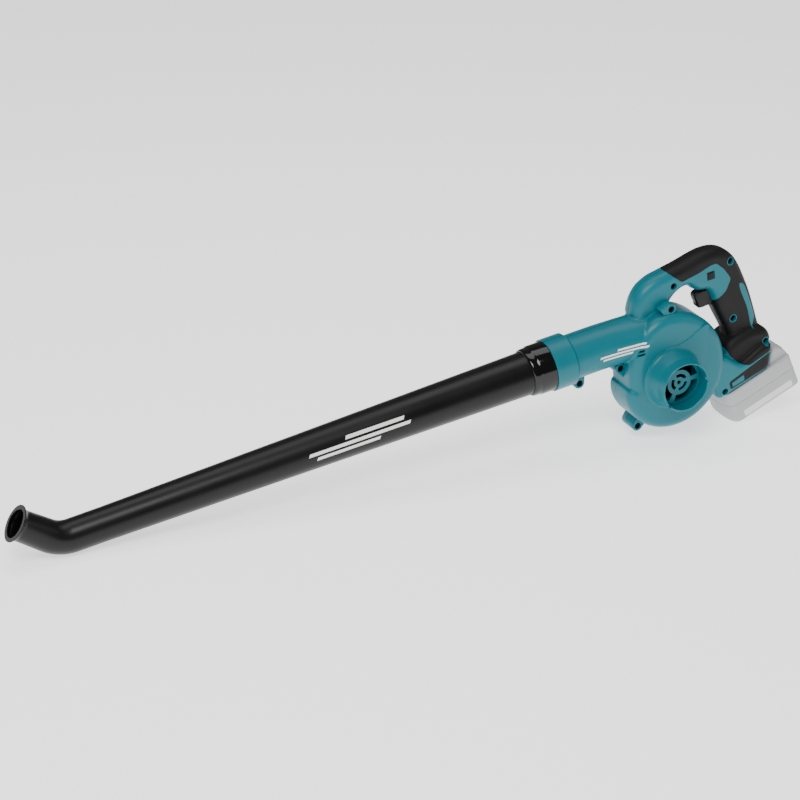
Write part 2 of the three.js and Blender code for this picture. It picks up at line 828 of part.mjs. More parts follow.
// The long pipe: a turned bar whose length is bent along the pipe's centre line, with a flared mouth.
function nozzlePipe() {
  const bendR = 46; // centre line of the elbow
  const bendStart = PIPE_LENGTH - bendR * Math.tan(TIP_ANGLE / 2);
  const bendLength = bendR * TIP_ANGLE;
  const straightTip = TIP_LENGTH - bendR * Math.tan(TIP_ANGLE / 2);
  const end = bendStart + bendLength + straightTip;
  const root = JOINT_SHOWN - 25.5;
  const taperEnd = PIPE_LENGTH - 60;
  const bends = [];
  const bendSteps = 6;
  for (let i = 0; i <= bendSteps; i++) bends.push(bendStart + (i / bendSteps) * bendLength);
  const narrowing = (s) => {
    const share = (s - bendStart) / (end - bendStart);
    return PIPE_TIP_R + (TIP_R - PIPE_TIP_R) * share;
  };
  const outside = [
    [PIPE_R, root],
    [PIPE_R, JOINT_SHOWN + 3],
    [PIPE_TIP_R, taperEnd],
    ...bends.map((s) => [narrowing(s), s]),
    [TIP_R, end - 9],
    [TIP_R + 1.4, end - 4.5],
    [LIP_R, end - 1.2],
    [LIP_R, end],
  ];
  const inside = outside.map(([r, s]) => [r - PIPE_WALL, s]).reverse();
  inside[0] = [LIP_R - PIPE_WALL, end];
  inside[1] = [LIP_R - PIPE_WALL - 0.6, end - 1.2];
  const geometry = turnedY([...outside, ...inside], 28);
  const place = geometry.attributes.position;
  const point = new THREE.Vector3();
  for (let i = 0; i < place.count; i++) {
    point.fromBufferAttribute(place, i);
    const [s, up] = [point.y, point.x];
    const turned = THREE.MathUtils.clamp((s - bendStart) / bendR, 0, TIP_ANGLE);
    const past = Math.max(s - bendStart - bendLength, 0);
    const before = Math.min(s, bendStart);
    const x = before + bendR * Math.sin(turned) + past * Math.cos(turned) - up * Math.sin(turned);
    const z = bendR * (1 - Math.cos(turned)) + past * Math.sin(turned) + up * Math.cos(turned);
    place.setXYZ(i, COLLAR_RIM - x, point.z, PIPE_Z + z);
  }
  return solid(geometry);
}

// ---------------------------------------------------------------- fan and motor
const SHAFT_FRONT = -18;
const BORE_R = SHAFT_R + 0.2;

function impeller() {
  const backplate = solid(
    turnedY(
      [
        [BORE_R, 10.8],
        [IMPELLER_R, 10.8],
        [IMPELLER_R, 9.2],
        [14, 9],
        [9, -12],
        [BORE_R, -12],
      ],
      ROUND_SIDES,
    ),
  );
  const front = -VOLUTE_LEFT + WALL + 3;
  const shroud = solid(
    turnedY(
      [
        [33, front - 1.5],
        [IMPELLER_R, front + 3],
        [IMPELLER_R, front + 4.6],
        [33, front],
      ],
      ROUND_SIDES,
    ),
  );
  const blades = [];
  const count = 11;
  for (let i = 0; i < count; i++) {
    const blade = new THREE.Shape();
    blade.moveTo(17, 0);
    blade.quadraticCurveTo(36, 4, IMPELLER_R - 1.5, 17);
    blade.lineTo(IMPELLER_R - 2.6, 18.4);
    blade.quadraticCurveTo(35, 5.8, 16.6, 1.6);
    blade.closePath();
    const geometry = new THREE.ExtrudeGeometry(blade, {
      depth: 10 - (front + 3.4),
      bevelEnabled: false,
      curveSegments: 3,
    });
    geometry.rotateX(Math.PI / 2);
    geometry.translate(0, 10, 0);
    geometry.rotateY((2 * Math.PI * i) / count);
    blades.push(solid(geometry));
  }
  return join(backplate, shroud, ...blades);
}

// Slots round the armature core, or the copper bars that lie in them.
function aroundShaft(count, width, r0, r1, y0, y1) {
  const bars = [];
  for (let i = 0; i < count; i++) {
    const geometry = new THREE.BoxGeometry(r1 - r0, y1 - y0, width);
    geometry.translate((r0 + r1) / 2, (y0 + y1) / 2, 0);
    geometry.rotateY((2 * Math.PI * i) / count);
    bars.push(solid(geometry));
  }
  return bars;
}

const ring = (r0, r1, y0, y1, sides = 24) =>
  turnedY(
    [
      [r0, y0],
      [r1, y0],
      [r1, y1],
      [r0, y1],
    ],
    sides,
  );

function addMotor() {
  const [f, b] = [MOTOR_FRONT, MOTOR_BACK];
  const inner = MOTOR_R - 1.7;
  const can = solid(
    turnedY(
      [
        [3.5, f - 2.5],
        [8.5, f - 2.5],
        [8.5, f],
        [MOTOR_R, f],
        [MOTOR_R, b],
        [inner, b],
        [inner, f + 2.5],
        [8.5, f + 2.5],
        [8.5, f + 4],
        [6.2, f + 4],
        [6.2, f - 1.5],
        [3.5, f - 1.5],
      ],
      24,
    ),
  );
  const canHoles = [-1, 1].map((s) => rodY(s * MOTOR_SCREW_X, 0, f - 1, f + 4, 1.7, 8));
  addPiece("motor_can", cut(can, ...canHoles), STEEL);
  addPiece("bearing_front", ring(SHAFT_R + 0.1, 6, f - 1.2, f + 3.8, 20), STEEL);
  addPiece("motor_magnet", ring(15.4, inner - GAP, f + 7, b - 8.5), DARK_STEEL);

  const cap = solid(
    turnedY(
      [
        [7.5, b - 5.8],
        [inner - GAP, b - 5.8],
        [inner - GAP, b + GAP],
        [MOTOR_R - 0.2, b + GAP],
        [MOTOR_R - 0.2, b + 3.7],
        [8.5, b + 3.7],
        [8.5, b + 9],
        [3.2, b + 9],
        [3.2, b + 7.7],
        [6.2, b + 7.7],
        [6.2, b + 2.5],
        [7.5, b + 2.5],
      ],
      24,
    ),
  );
  const brushY = b - 3.9;
  const brushSlot = box(-17.4, 17.4, brushY - 0.3, brushY + 4.3, -2.8, 2.8);
  addPiece("motor_end_cap", cut(cap, brushSlot), BLACK);
  addPiece("bearing_rear", ring(SHAFT_R + 0.1, 6, b + 2.8, b + 7.4, 20), STEEL);
  for (const [name, side] of [
    ["carbon_brush_1", -1],
    ["carbon_brush_2", 1],
  ]) {
    const [x0, x1] = side < 0 ? [-17, -5.8] : [5.8, 17];
    addPiece(name, box(x0, x1, brushY, brushY + 4, -2.5, 2.5), CARBON);
  }
  for (const [name, side] of [
    ["motor_screw_1", -1],
    ["motor_screw_2", 1],
  ]) {
    const screw = addPiece(name, screwGeometry(6.5, 1.4, 2.6, 2), STEEL);
    screw.position.set(side * MOTOR_SCREW_X, PARTITION - GAP, 0);
  }

  const rotorFrom = f + 9;
  const rotorTo = b - 10.3;
  addPiece("motor_shaft", rodY(0, 0, SHAFT_FRONT, b + 8.4, SHAFT_R, 14), STEEL);
  const slots = aroundShaft(6, 3.8, 8.3, 16, rotorFrom - 1, rotorTo + 1);
  const core = cut(solid(ring(BORE_R, 14.6, rotorFrom, rotorTo)), ...slots);
  addPiece("armature_core", core, DARK_STEEL);
  const coils = join(
    solid(ring(5, 12.4, rotorFrom - 4, rotorFrom - GAP)),
    solid(ring(6, 12.4, rotorTo + GAP, rotorTo + 4)),
    ...aroundShaft(6, 3, 8.8, 12.2, rotorFrom - 1, rotorTo + 1),
  );
  addPiece("armature_winding", coils, COPPER);
  addPiece("commutator", ring(BORE_R, 5.5, b - 5.5, b + 2, 20), COPPER);
  addPiece("impeller", impeller(), BLACK);
  const nut = new THREE.CylinderGeometry(5, 5, 4.2, 6);
  nut.translate(0, SHAFT_FRONT + 3.2, 0);
  addPiece("fan_nut", cut(solid(nut), rodY(0, 0, -30, 0, BORE_R, 14)), STEEL);
}

// ---------------------------------------------------------------- trigger, button and switch
const SWITCH_FRONT = 24;

function addControls() {
  const lobe = new THREE.Shape();
  lobe.moveTo(...at(TRIGGER_BACK, TRIGGER_TOP));
  lobe.lineTo(...at(-10, TRIGGER_TOP));
  lobe.splineThru(
    [
      [-21, 0],
      [-23.5, -7],
      [-21.5, -14],
      [-17.5, -21],
      [-10, TRIGGER_BOTTOM],
    ].map(fromHandle),
  );
  lobe.lineTo(...at(TRIGGER_BACK, TRIGGER_BOTTOM + 1));
  const [backX, midZ] = at(TRIGGER_BACK, STOP.middle);
  const wide = TRIGGER_HALF + STOP.reach;
  const stop = box(backX - STOP.deep, backX, -wide, wide, midZ - STOP.low, midZ + STOP.high);
  const plunger = new THREE.CylinderGeometry(2, 2, 19, 12);
  plunger.rotateZ(Math.PI / 2);
  plunger.translate(backX + 9.4, 0, midZ);
  const body = slab(lobe, -TRIGGER_HALF, TRIGGER_HALF, 2, 0, 2, 3);
  addPiece("trigger", join(body, stop, solid(plunger)), BLACK);

  const springLength = SWITCH_FRONT - TRIGGER_BACK - 0.6;
  const spring = addPiece("trigger_spring", coilSpring(3.4, 5, springLength, 0.5), STEEL);
  spring.rotation.y = Math.PI / 2;
  spring.position.set(backX + 0.3, 0, midZ);

  const [switchX, switchZ] = at(SWITCH_FRONT, -19);
  const bore = new THREE.CylinderGeometry(2.4, 2.4, 20, 12);
  bore.rotateZ(Math.PI / 2);
  bore.translate(switchX + 8, 0, midZ);
  const switchBody = cut(box(switchX, switchX + 24, -9, 9, switchZ, switchZ + 24), solid(bore));
  addPiece("switch_body", switchBody, BLACK);

  const face = -GRIP_HALF - 0.8;
  const button = join(
    buttonBox(-0.1, face + 1, -8),
    buttonBox(-1.1, face, face + 2),
  );
  addPiece("lock_button", button, BLACK);
  const [bx, bz] = at(BUTTON.x, BUTTON.z);
  const lockSpring = addPiece("lock_spring", coilSpring(3, 4, 5.4, 0.4), STEEL);
  lockSpring.rotation.x = -Math.PI / 2;
  lockSpring.position.set(bx, -7.7, bz);
}

function addTerminals() {
  const body = join(
    packBox(14, 44, -20, 20, TONGUE_HEIGHT + 1.2, 16),
    packBox(18, 40, -16, 16, 15, 22),
  );
  const slots = [-13, 9].map((y) => packBox(19.7, 38.3, y - GAP, y + 4 + GAP, 0, 19.3));
  addPiece("terminal_block", cut(body, ...slots), BLACK);
  for (const [name, y] of [
    ["terminal_positive", -12],
    ["terminal_negative", 10],
  ]) {
    addPiece(name, packBox(20, 38, y, y + 2, 2.5, 19), COPPER);
  }
}

function addLeads() {
  const low = packPoint(31, 23.4);
  const lead = (y, topX) => [
    [low[0], y, low[1]],
    [low[0] + 6, y, low[1] + 22],
    [...at(42, -92)].toSpliced(1, 0, y),
    [...at(49, -55)].toSpliced(1, 0, y),
    [...at(topX + 4, -34)].toSpliced(1, 0, y),
    [...at(topX, -19.4)].toSpliced(1, 0, y),
  ];
  addPiece("lead_battery_positive", wire(lead(-7, 30), LEAD_R, 18), finish("#a02020", 0.5));
  addPiece("lead_battery_negative", wire(lead(-3.5, 34), LEAD_R, 18), finish("#18181a", 0.5));
  const motorLead = (beside, topX, ends) => [
    [...at(topX, -19.4)].toSpliced(1, 0, 3 + beside),
    [...at(52, -50)].toSpliced(1, 0, 3 + beside),
    [...at(48, -84)].toSpliced(1, 0, 4 + beside),
    [...at(42, -104)].toSpliced(1, 0, 7 + beside),
    [...at(32, -119)].toSpliced(1, 0, 13 + beside),
    [...at(18, -125)].toSpliced(1, 0, 22 + beside),
    [...at(2, -121)].toSpliced(1, 0, 27 + beside),
    [60, 28 + beside, -27],
    [40, 28.5 + beside, -20],
    ...ends,
  ];
  const cap = MOTOR_BACK + 3.7;
  const first = motorLead(0, 40, [
    [28, 31, -13],
    [22.5, 42, -14],
    [22.5, cap - 6, -14],
    [19, cap + 2.4, -10],
    [14, cap + 2.4, -4],
  ]);
  const second = motorLead(3.6, 44, [
    [30, 34.5, -16],
    [25.6, 40, -10.5],
    [25.6, 46, -7.5],
    [25.6, cap - 5, -7.5],
    [20, cap + 4.5, -12],
    [2, cap + 5.6, -15],
    [-11, cap + 4, -11],
    [-14, cap + 2.4, -4],
  ]);
  addPiece("lead_motor_1", wire(first, LEAD_R, 34), finish("#c9a21f", 0.5));
  addPiece("lead_motor_2", wire(second, LEAD_R, 40), finish("#e8e8e8", 0.5));
}

// ---------------------------------------------------------------- battery pack, in its own frame
function packPlan() {
  const shape = new THREE.Shape();
  const [front, rear] = [14, 7];
  shape.moveTo(front, -PACK_HALF);
  shape.lineTo(PACK_LENGTH - rear, -PACK_HALF);
  shape.quadraticCurveTo(PACK_LENGTH, -PACK_HALF, PACK_LENGTH, -PACK_HALF + rear);
  shape.lineTo(PACK_LENGTH, PACK_HALF - rear);
  shape.quadraticCurveTo(PACK_LENGTH, PACK_HALF, PACK_LENGTH - rear, PACK_HALF);
  shape.lineTo(front, PACK_HALF);
  shape.bezierCurveTo(1, PACK_HALF - 0.5, 0, 18, 0, 0);
  shape.bezierCurveTo(0, -18, 1, -PACK_HALF + 0.5, front, -PACK_HALF);
  return shape;
}

// The pack's plan between two heights, shrunk by an inset, with its edges rounded.
function packSlab(w0, w1, edge, inset) {
  const size = Math.max(edge, 0.01);
  const geometry = new THREE.ExtrudeGeometry(packPlan(), {
    depth: w1 - w0 - 2 * size,
    bevelThickness: size,
    bevelSize: size,
    bevelOffset: -size - inset,
    bevelSegments: edge > 0 ? 2 : 1,
    curveSegments: 6,
  });
  geometry.translate(0, 0, w0 + size);
  return solid(geometry);
}

const PARTING = -22;
const HUMP_HEIGHT = 19;

// The rear hump of the pack in side view, as an outline in the XZ plane of the pack's frame.
const humpShape = () =>
  shapeOf([
    [84, -10],
    [84, 1],
    [94, HUMP_HEIGHT],
    [103, HUMP_HEIGHT - 0.5],
    [111, HUMP_HEIGHT - 7],
    [PACK_LENGTH, 0],
    [PACK_LENGTH, -10],
  ]);

function packUpper() {
  const t = TONGUE_HALF;
  const whole = packSlab(PARTING - 10, 0, 2, 0).subtract(box(-9, 200, -60, 60, -80, PARTING));
  const inner = packSlab(PARTING - 14, -PACK_WALL, 0, PACK_WALL);
  const hump = slab(humpShape(), -31, 31, 3, 0, 2);
  const humpInner = slab(humpShape(), -31 + PACK_WALL, 31 - PACK_WALL, 0, PACK_WALL, 1);
  const tongue = join(
    box(12, 90, -t, t, -1, TONGUE_HEIGHT),
    box(12, 90, -t - 4, t + 4, 4.5, 7),
  );
  const tongueInner = box(14.4, 95, -t + PACK_WALL, t - PACK_WALL, -6, TONGUE_HEIGHT - PACK_WALL);
  const humpDrop = box(86.6, PACK_LENGTH - PACK_WALL, -28, 28, -6, 3);
  const bladeSlots = [-13.5, 8.5].map((y) => box(8, 41, y, y + 5, 1.5, TONGUE_HEIGHT + 1));
  const hookSlot = box(68.5, 78.5, -8.8, 8.8, 3, TONGUE_HEIGHT + 1);
  const buttonHole = box(PACK_LENGTH - 8, PACK_LENGTH + 3, -15.4, 15.4, -19.5, 2.6);
  return mainBody(
    cut(
      join(cut(join(whole, hump), inner, humpInner, humpDrop), tongue),
      tongueInner,
      ...bladeSlots,
      hookSlot,
      buttonHole,
    ),
  );
}

function packLower() {
  const top = PARTING - GAP;
  const whole = packSlab(-PACK_HEIGHT, top + 10, 3, 0).intersect(box(-9, 200, -60, 60, -99, top));
  const hollow = packSlab(-PACK_HEIGHT + PACK_WALL, top + 14, 0, PACK_WALL);
  const post = box(102.5, 108, -4, 4, -PACK_HEIGHT + 1, -13);
  return join(cut(whole, hollow), post);
}

function packLatch() {
  const hook = box(70, 77, -8, 8, 0.5, 13);
  const rise = shapeOf([
    [70, 13.2],
    [70, 8],
    [75, 13.2],
  ]);
  const ramp = slab(rise, -9, 9, 0);
  const arm = box(70, 110, -7, 7, 0.5, 3.2);
  const button = box(108.5, PACK_LENGTH + 1.5, -15, 15, -14, 1.8);
  const armEnd = box(104, 110, -7, 7, -3, 3.2);
  return join(cut(hook, ramp), arm, armEnd, button);
}

function addPack() {
  tool.add(pack);
  addPiece("battery_case_upper", packUpper(), PACK_GREY, pack);
  addPiece("battery_case_lower", packLower(), PACK_GREY, pack);
  const first = 18;
  const lowRow = -PACK_HEIGHT + PACK_WALL + GAP + CELL_R;
  for (let i = 0; i < 10; i++) {
    const column = i % 5;
    const row = Math.floor(i / 5);
    const geometry = new THREE.CylinderGeometry(CELL_R, CELL_R, CELL_LENGTH, 16);
    const cell = addPiece("battery_cell_" + (i + 1), geometry, CELL_SLEEVE, pack);
    cell.position.set(first + CELL_PITCH * column, 0, lowRow + CELL_PITCH * row);
  }
  const boardZ = lowRow + CELL_PITCH + CELL_R + 1.2;
  addPiece("battery_board", box(18, 96, -30, 30, boardZ, boardZ + 1.6), BOARD, pack);
  addPiece("battery_latch", packLatch(), BLACK, pack);
  const spring = addPiece("latch_spring", coilSpring(2.6, 4, 9.4, 0.45), STEEL, pack);
  spring.position.set(105.2, 0, -12.7);
}

// ---------------------------------------------------------------- assembly
addPiece("housing_left", housingHalf(-1), TEAL);
addPiece("housing_right", housingHalf(1), TEAL);
addPiece("inlet_guard", inletGuard(), TEAL);
addPiece("grip_left", grip(-1), RUBBER);
addPiece("grip_right", grip(1), RUBBER);
addPiece("foot_panel_left", footPanel(-1), BLACK);
addPiece("foot_panel_right", footPanel(1), BLACK);
SCREWS.forEach(({ place: [x, z], seat }, i) => {
  const name = "housing_screw_" + (i + 1);
  const screw = addPiece(name, screwGeometry(SCREW_TIP - seat, SCREW_R, SCREW_HEAD_R, 3), BLACK);
  screw.position.set(x, seat - GAP, z);
});
addPiece("nozzle_joint", nozzleJoint(), GLOSS_BLACK);
const pipe = addPiece("nozzle_pipe", nozzlePipe(), SATIN_BLACK);
addMotor();
addControls();
addTerminals();
addLeads();
addPack();

// Lowest point of a mesh when the machine is pitched nose-down by an angle.
function lowest(mesh, pitch) {
  tool.rotation.y = -pitch;
  blower.updateMatrixWorld(true);
  return new THREE.Box3().setFromObject(mesh, true).min.z;
}

// The machine lies on the pipe's elbow and the pack's front edge: find the pitch that lets both touch.
const packFloor = pack.children.find((mesh) => mesh.name === "battery_case_lower");
let [low, high] = [0, 0.5];
for (let i = 0; i < 30; i++) {
  const middle = (low + high) / 2;
  if (lowest(pipe, middle) > lowest(packFloor, middle)) low = middle;
  else high = middle;
}
tool.rotation.y = -low;
blower.updateMatrixWorld(true);

// The origin is the middle of the floor under the whole machine.
const bounds = new THREE.Box3().setFromObject(tool, true);
const middle = bounds.getCenter(new THREE.Vector3());
tool.position.set(-middle.x, -middle.y, -bounds.min.z);

export default blower;
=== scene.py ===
"""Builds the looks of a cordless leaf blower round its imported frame.

Sizes are millimetres in the machine's own frame: the fan turns about Y through the origin, the air pipe
points along -X and Z is up. A Place turns them into the row's frame, in metres.
"""

import json
import logging
import math
from collections.abc import Callable, Iterable, Mapping, Sequence
from dataclasses import dataclass, field
from enum import Enum

import bmesh
import bpy
from mathutils import Matrix, Vector

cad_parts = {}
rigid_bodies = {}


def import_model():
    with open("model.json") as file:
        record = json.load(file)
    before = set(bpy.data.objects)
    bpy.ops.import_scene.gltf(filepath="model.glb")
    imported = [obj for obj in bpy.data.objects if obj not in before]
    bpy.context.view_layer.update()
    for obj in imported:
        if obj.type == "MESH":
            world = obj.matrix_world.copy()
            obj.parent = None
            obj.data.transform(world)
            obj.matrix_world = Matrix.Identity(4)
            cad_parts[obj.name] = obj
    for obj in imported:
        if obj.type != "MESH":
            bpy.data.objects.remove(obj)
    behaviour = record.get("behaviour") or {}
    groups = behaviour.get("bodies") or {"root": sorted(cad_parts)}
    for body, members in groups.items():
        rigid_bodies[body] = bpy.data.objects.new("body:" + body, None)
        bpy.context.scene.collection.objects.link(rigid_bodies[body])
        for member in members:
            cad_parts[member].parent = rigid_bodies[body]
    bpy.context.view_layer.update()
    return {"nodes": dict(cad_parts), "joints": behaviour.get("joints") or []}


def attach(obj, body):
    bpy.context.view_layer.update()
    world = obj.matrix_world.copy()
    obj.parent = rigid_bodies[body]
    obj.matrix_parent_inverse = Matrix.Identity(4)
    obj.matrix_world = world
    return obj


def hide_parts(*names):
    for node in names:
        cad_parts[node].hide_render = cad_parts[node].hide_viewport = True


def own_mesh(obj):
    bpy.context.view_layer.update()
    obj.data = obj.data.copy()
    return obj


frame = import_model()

logging.basicConfig(level=logging.INFO, format="%(name)s: %(message)s")
LOG = logging.getLogger("blower")
MM = 0.001

QUARTER = math.pi / 2
HANDLE_CORNER = (87.83, 93.0)  # the handle's points are given from here, in the machine's XZ plane
COLLAR_RIM = -168.4  # X of the outlet tube's open end
MIX_A, MIX_B, MIX_RESULT = 6, 7, 2  # the colour sockets of a Mix node
CRISP, MOULDED, ROUND = 30.0, 35.0, 50.0  # degrees that an edge may turn and still be shaded smooth

Outline = list[Vector]
Pair = tuple[float, float]
Steps = list[tuple[str, dict[str, object]]]


# ------------------------------------------------------------------ finishes
def linear(code: str) -> tuple[float, float, float, float]:
    """Turns an sRGB hex colour into the linear values that a shader takes.

    Args:
        code: a colour such as "#1e8e9e".

    Returns:
        Red, green, blue and an alpha of 1.
    """
    parts = [int(code[i : i + 2], 16) / 255 for i in (1, 3, 5)]
    red, green, blue = (p / 12.92 if p <= 0.04045 else ((p + 0.055) / 1.055) ** 2.4 for p in parts)
    return red, green, blue, 1.0


def add_node(
    tree: bpy.types.NodeTree,
    kind: str,
    settings: Mapping[str, object] | None = None,
    links: Mapping[str, bpy.types.NodeSocket] | None = None,
) -> bpy.types.Node:
    """Adds one node with its settings and links.

    Args:
        tree: the node tree to add to.
        kind: the node's type name.
        settings: values by input socket name, or by the node's own attribute.
        links: the sockets that feed each named input.

    Returns:
        The new node.
    """
    made = tree.nodes.new(kind)
    for name, value in (settings or {}).items():
        if name in made.inputs:
            made.inputs[name].default_value = value
        else:
            setattr(made, name, value)
    for name, socket in (links or {}).items():
        tree.links.new(socket, made.inputs[name])
    return made


def new_material(name: str) -> tuple[bpy.types.Material, bpy.types.NodeTree, bpy.types.Node]:
    """A new material with its node tree and its shader."""
    made = bpy.data.materials.new(name)
    made.use_nodes = True
    return made, made.node_tree, made.node_tree.nodes["Principled BSDF"]


@dataclass(frozen=True)
class Moulding:
    """Injection-moulded plastic or rubber: flow mottle in the colour, and the mould's eroded grain."""

    name: str
    colour: str
    shade: str
    roughness: float
    spread: float = 0.06
    grain_mm: float = 0.9  # real grain is about 0.1 mm and is drawn coarser so that it shows
    grain_depth: float = 0.02
    mottle_mm: float = 45.0
    coat: float = 0.0
    gleam: float = 0.4  # share of the full reflection; grain scatters the rest

    def material(self) -> bpy.types.Material:
        """Builds the material."""
        made, tree, shader = new_material(self.name)
        place = add_node(tree, "ShaderNodeTexCoord").outputs["Object"]
        mottle = add_node(
            tree,
            "ShaderNodeTexNoise",
            {"Scale": 1000 / self.mottle_mm, "Detail": 3.0, "Roughness": 0.55},
            {"Vector": place},
        )
        tint = add_node(tree, "ShaderNodeMix", {"data_type": "RGBA"})
        tint.inputs[MIX_A].default_value = linear(self.shade)
        tint.inputs[MIX_B].default_value = linear(self.colour)
        tree.links.new(mottle.outputs["Fac"], tint.inputs[0])
        tree.links.new(tint.outputs[MIX_RESULT], shader.inputs["Base Color"])
        wipe = add_node(
            tree,
            "ShaderNodeMapRange",
            {
                "From Min": 0.3,
                "From Max": 0.7,
                "To Min": self.roughness - self.spread,
                "To Max": self.roughness + self.spread,
            },
            {"Value": mottle.outputs["Fac"]},
        )
        tree.links.new(wipe.outputs["Result"], shader.inputs["Roughness"])
        grain = add_node(
            tree,
            "ShaderNodeTexNoise",
            {"Scale": 1000 / self.grain_mm, "Detail": 2.0, "Roughness": 0.6},
            {"Vector": place},
        )
        bump = add_node(
            tree,
            "ShaderNodeBump",
            {"Strength": 1.0, "Distance": self.grain_depth * MM},
            {"Height": grain.outputs["Fac"]},
        )
        tree.links.new(bump.outputs["Normal"], shader.inputs["Normal"])
        shader.inputs["IOR"].default_value = 1.5
        shader.inputs["Specular IOR Level"].default_value = self.gleam
        shader.inputs["Coat Weight"].default_value = self.coat
        shader.inputs["Coat Roughness"].default_value = 0.08
        return made


@dataclass(frozen=True)
class Metal:
    """Machined or drawn metal: fine lines along one direction, with a little spread in its gloss."""

    name: str
    colour: str
    roughness: float
    line_mm: float = 0.5
    stretch: tuple[float, float, float] = (1.0, 0.06, 1.0)

    def material(self) -> bpy.types.Material:
        """Builds the material."""
        made, tree, shader = new_material(self.name)
        place = add_node(tree, "ShaderNodeTexCoord").outputs["Object"]
        drawn = add_node(tree, "ShaderNodeMapping", {"Scale": self.stretch}, {"Vector": place})
        lines = add_node(
            tree,
            "ShaderNodeTexNoise",
            {"Scale": 1000 / self.line_mm, "Detail": 3.0},
            {"Vector": drawn.outputs["Vector"]},
        )
        gloss = add_node(
            tree,
            "ShaderNodeMapRange",
            {"To Min": self.roughness - 0.08, "To Max": self.roughness + 0.1},
            {"Value": lines.outputs["Fac"]},
        )
        tree.links.new(gloss.outputs["Result"], shader.inputs["Roughness"])
        bump = add_node(
            tree,
            "ShaderNodeBump",
            {"Strength": 0.6, "Distance": 0.01 * MM},
            {"Height": lines.outputs["Fac"]},
        )
        tree.links.new(bump.outputs["Normal"], shader.inputs["Normal"])
        shader.inputs["Base Color"].default_value = linear(self.colour)
        shader.inputs["Metallic"].default_value = 1.0
        return made


class Finish(Enum):
    """The finishes of the machine, by what each is made of and how."""

    # ABS, moulded against a satin tool: a soft sheen with bright broad highlights
    TEAL_ABS = Moulding(
        "teal_moulded_abs", "#006f7c", "#006672", 0.36, 0.04, 1.0, 0.012, 60, gleam=0.32
    )
    # thermoplastic elastomer, moulded over the handle: dark, dry and finely grained
    GRIP_TPE = Moulding(
        "black_overmoulded_tpe", "#0e0d0f", "#0b0a0c", 0.55, 0.05, 0.8, 0.04, 40, gleam=0.25
    )
    # polypropylene, blow moulded: satin black with a long soft highlight
    PIPE_PP = Moulding(
        "satin_black_polypropylene", "#070708", "#050506", 0.36, 0.04, 1.2, 0.008, 90, gleam=0.3
    )
    # polished ABS: deep black with sharp reflections
    SLEEVE_ABS = Moulding(
        "polished_black_abs", "#030303", "#020202", 0.09, 0.01, 2.5, 0.002, 60, gleam=0.45
    )
    # glass-filled nylon: satin black, a little uneven
    BLACK_NYLON = Moulding(
        "black_glass_filled_nylon", "#101012", "#0c0c0e", 0.42, 0.08, 0.7, 0.03, 20, gleam=0.3
    )
    # polycarbonate blend of the pack's case: pale grey with a fine matt grain
    PACK_GREY = Moulding("pale_grey_polycarbonate", "#b4b5b6", "#adaeaf", 0.46, 0.05, 0.9, 0.03, 50)
    PACK_LABEL = Moulding("white_pack_label", "#ececec", "#e4e4e4", 0.4, 0.04, 0.6, 0.006, 30)
    PAD_WHITE = Moulding("white_pad_print", "#f4f4f2", "#ecece9", 0.45, 0.05, 0.8, 0.008, 15)
    PCB = Moulding("green_solder_mask", "#1e5a34", "#184a2a", 0.35, 0.06, 0.8, 0.02, 8)
    CELL_WRAP = Moulding("blue_shrink_wrap", "#2d6aa8", "#265b92", 0.3, 0.06, 1.5, 0.02, 12)
    CARBON = Moulding("pressed_carbon", "#2b2b2d", "#1c1c1e", 0.62, 0.1, 0.5, 0.06, 3)
    LEAD_RED = Moulding("red_pvc", "#9c1c1c", "#8a1717", 0.4)
    LEAD_BLACK = Moulding("black_pvc", "#141416", "#101012", 0.4)
    LEAD_YELLOW = Moulding("yellow_pvc", "#c49a1c", "#b08916", 0.4)
    LEAD_WHITE = Moulding("white_pvc", "#dededb", "#d2d2ce", 0.4)
    SCREW_STEEL = Metal("black_oxide_steel", "#17171a", 0.42, 0.4, (1.0, 1.0, 1.0))
    STEEL = Metal("ground_steel", "#a4a7ab", 0.3)
    CORE_STEEL = Metal("laminated_core_steel", "#3b3c40", 0.45, 0.6, (0.1, 1.0, 0.1))
    COPPER = Metal("drawn_copper", "#b8713f", 0.32, 0.7, (1.0, 0.1, 1.0))


# ------------------------------------------------------------------ outlines
def smooth_line(points: Sequence[Pair], steps: int, closed: bool = False) -> Outline:
    """Draws a Catmull-Rom curve through points.

    Args:
        points: the points that the curve passes through.
        steps: pieces between two points.
        closed: whether the curve returns to its first point.

    Returns:
        The points along the curve.
    """
    knots = [Vector(p) for p in points]
    count = len(knots)
    ends = count if closed else count - 1
    line: Outline = []
    for i in range(ends):
        if closed:
            a, b, c, d = (knots[(i + k) % count] for k in (-1, 0, 1, 2))
        else:
            a, b, c, d = (knots[min(max(i + k, 0), count - 1)] for k in (-1, 0, 1, 2))
        for step in range(steps):
            t = step / steps
            square, cube = (2 * a - 5 * b + 4 * c - d) * t**2, (3 * b - a - 3 * c + d) * t**3
            line.append(0.5 * (2 * b + (c - a) * t + square + cube))
    if not closed:
        line.append(knots[-1].copy())
    return line


def arc(radius: float, start: float, sweep: float, steps: int) -> Outline:
    """Points on a circle round the origin, with both ends."""
    turns = (start + i / steps * sweep for i in range(steps + 1))
    return [Vector((radius * math.cos(a), radius * math.sin(a))) for a in turns]


def at_xz(x: float, z: float, y: float = 0) -> Matrix:
    """The move to a point of the machine's side view."""
    return Matrix.Translation((x, y, z))


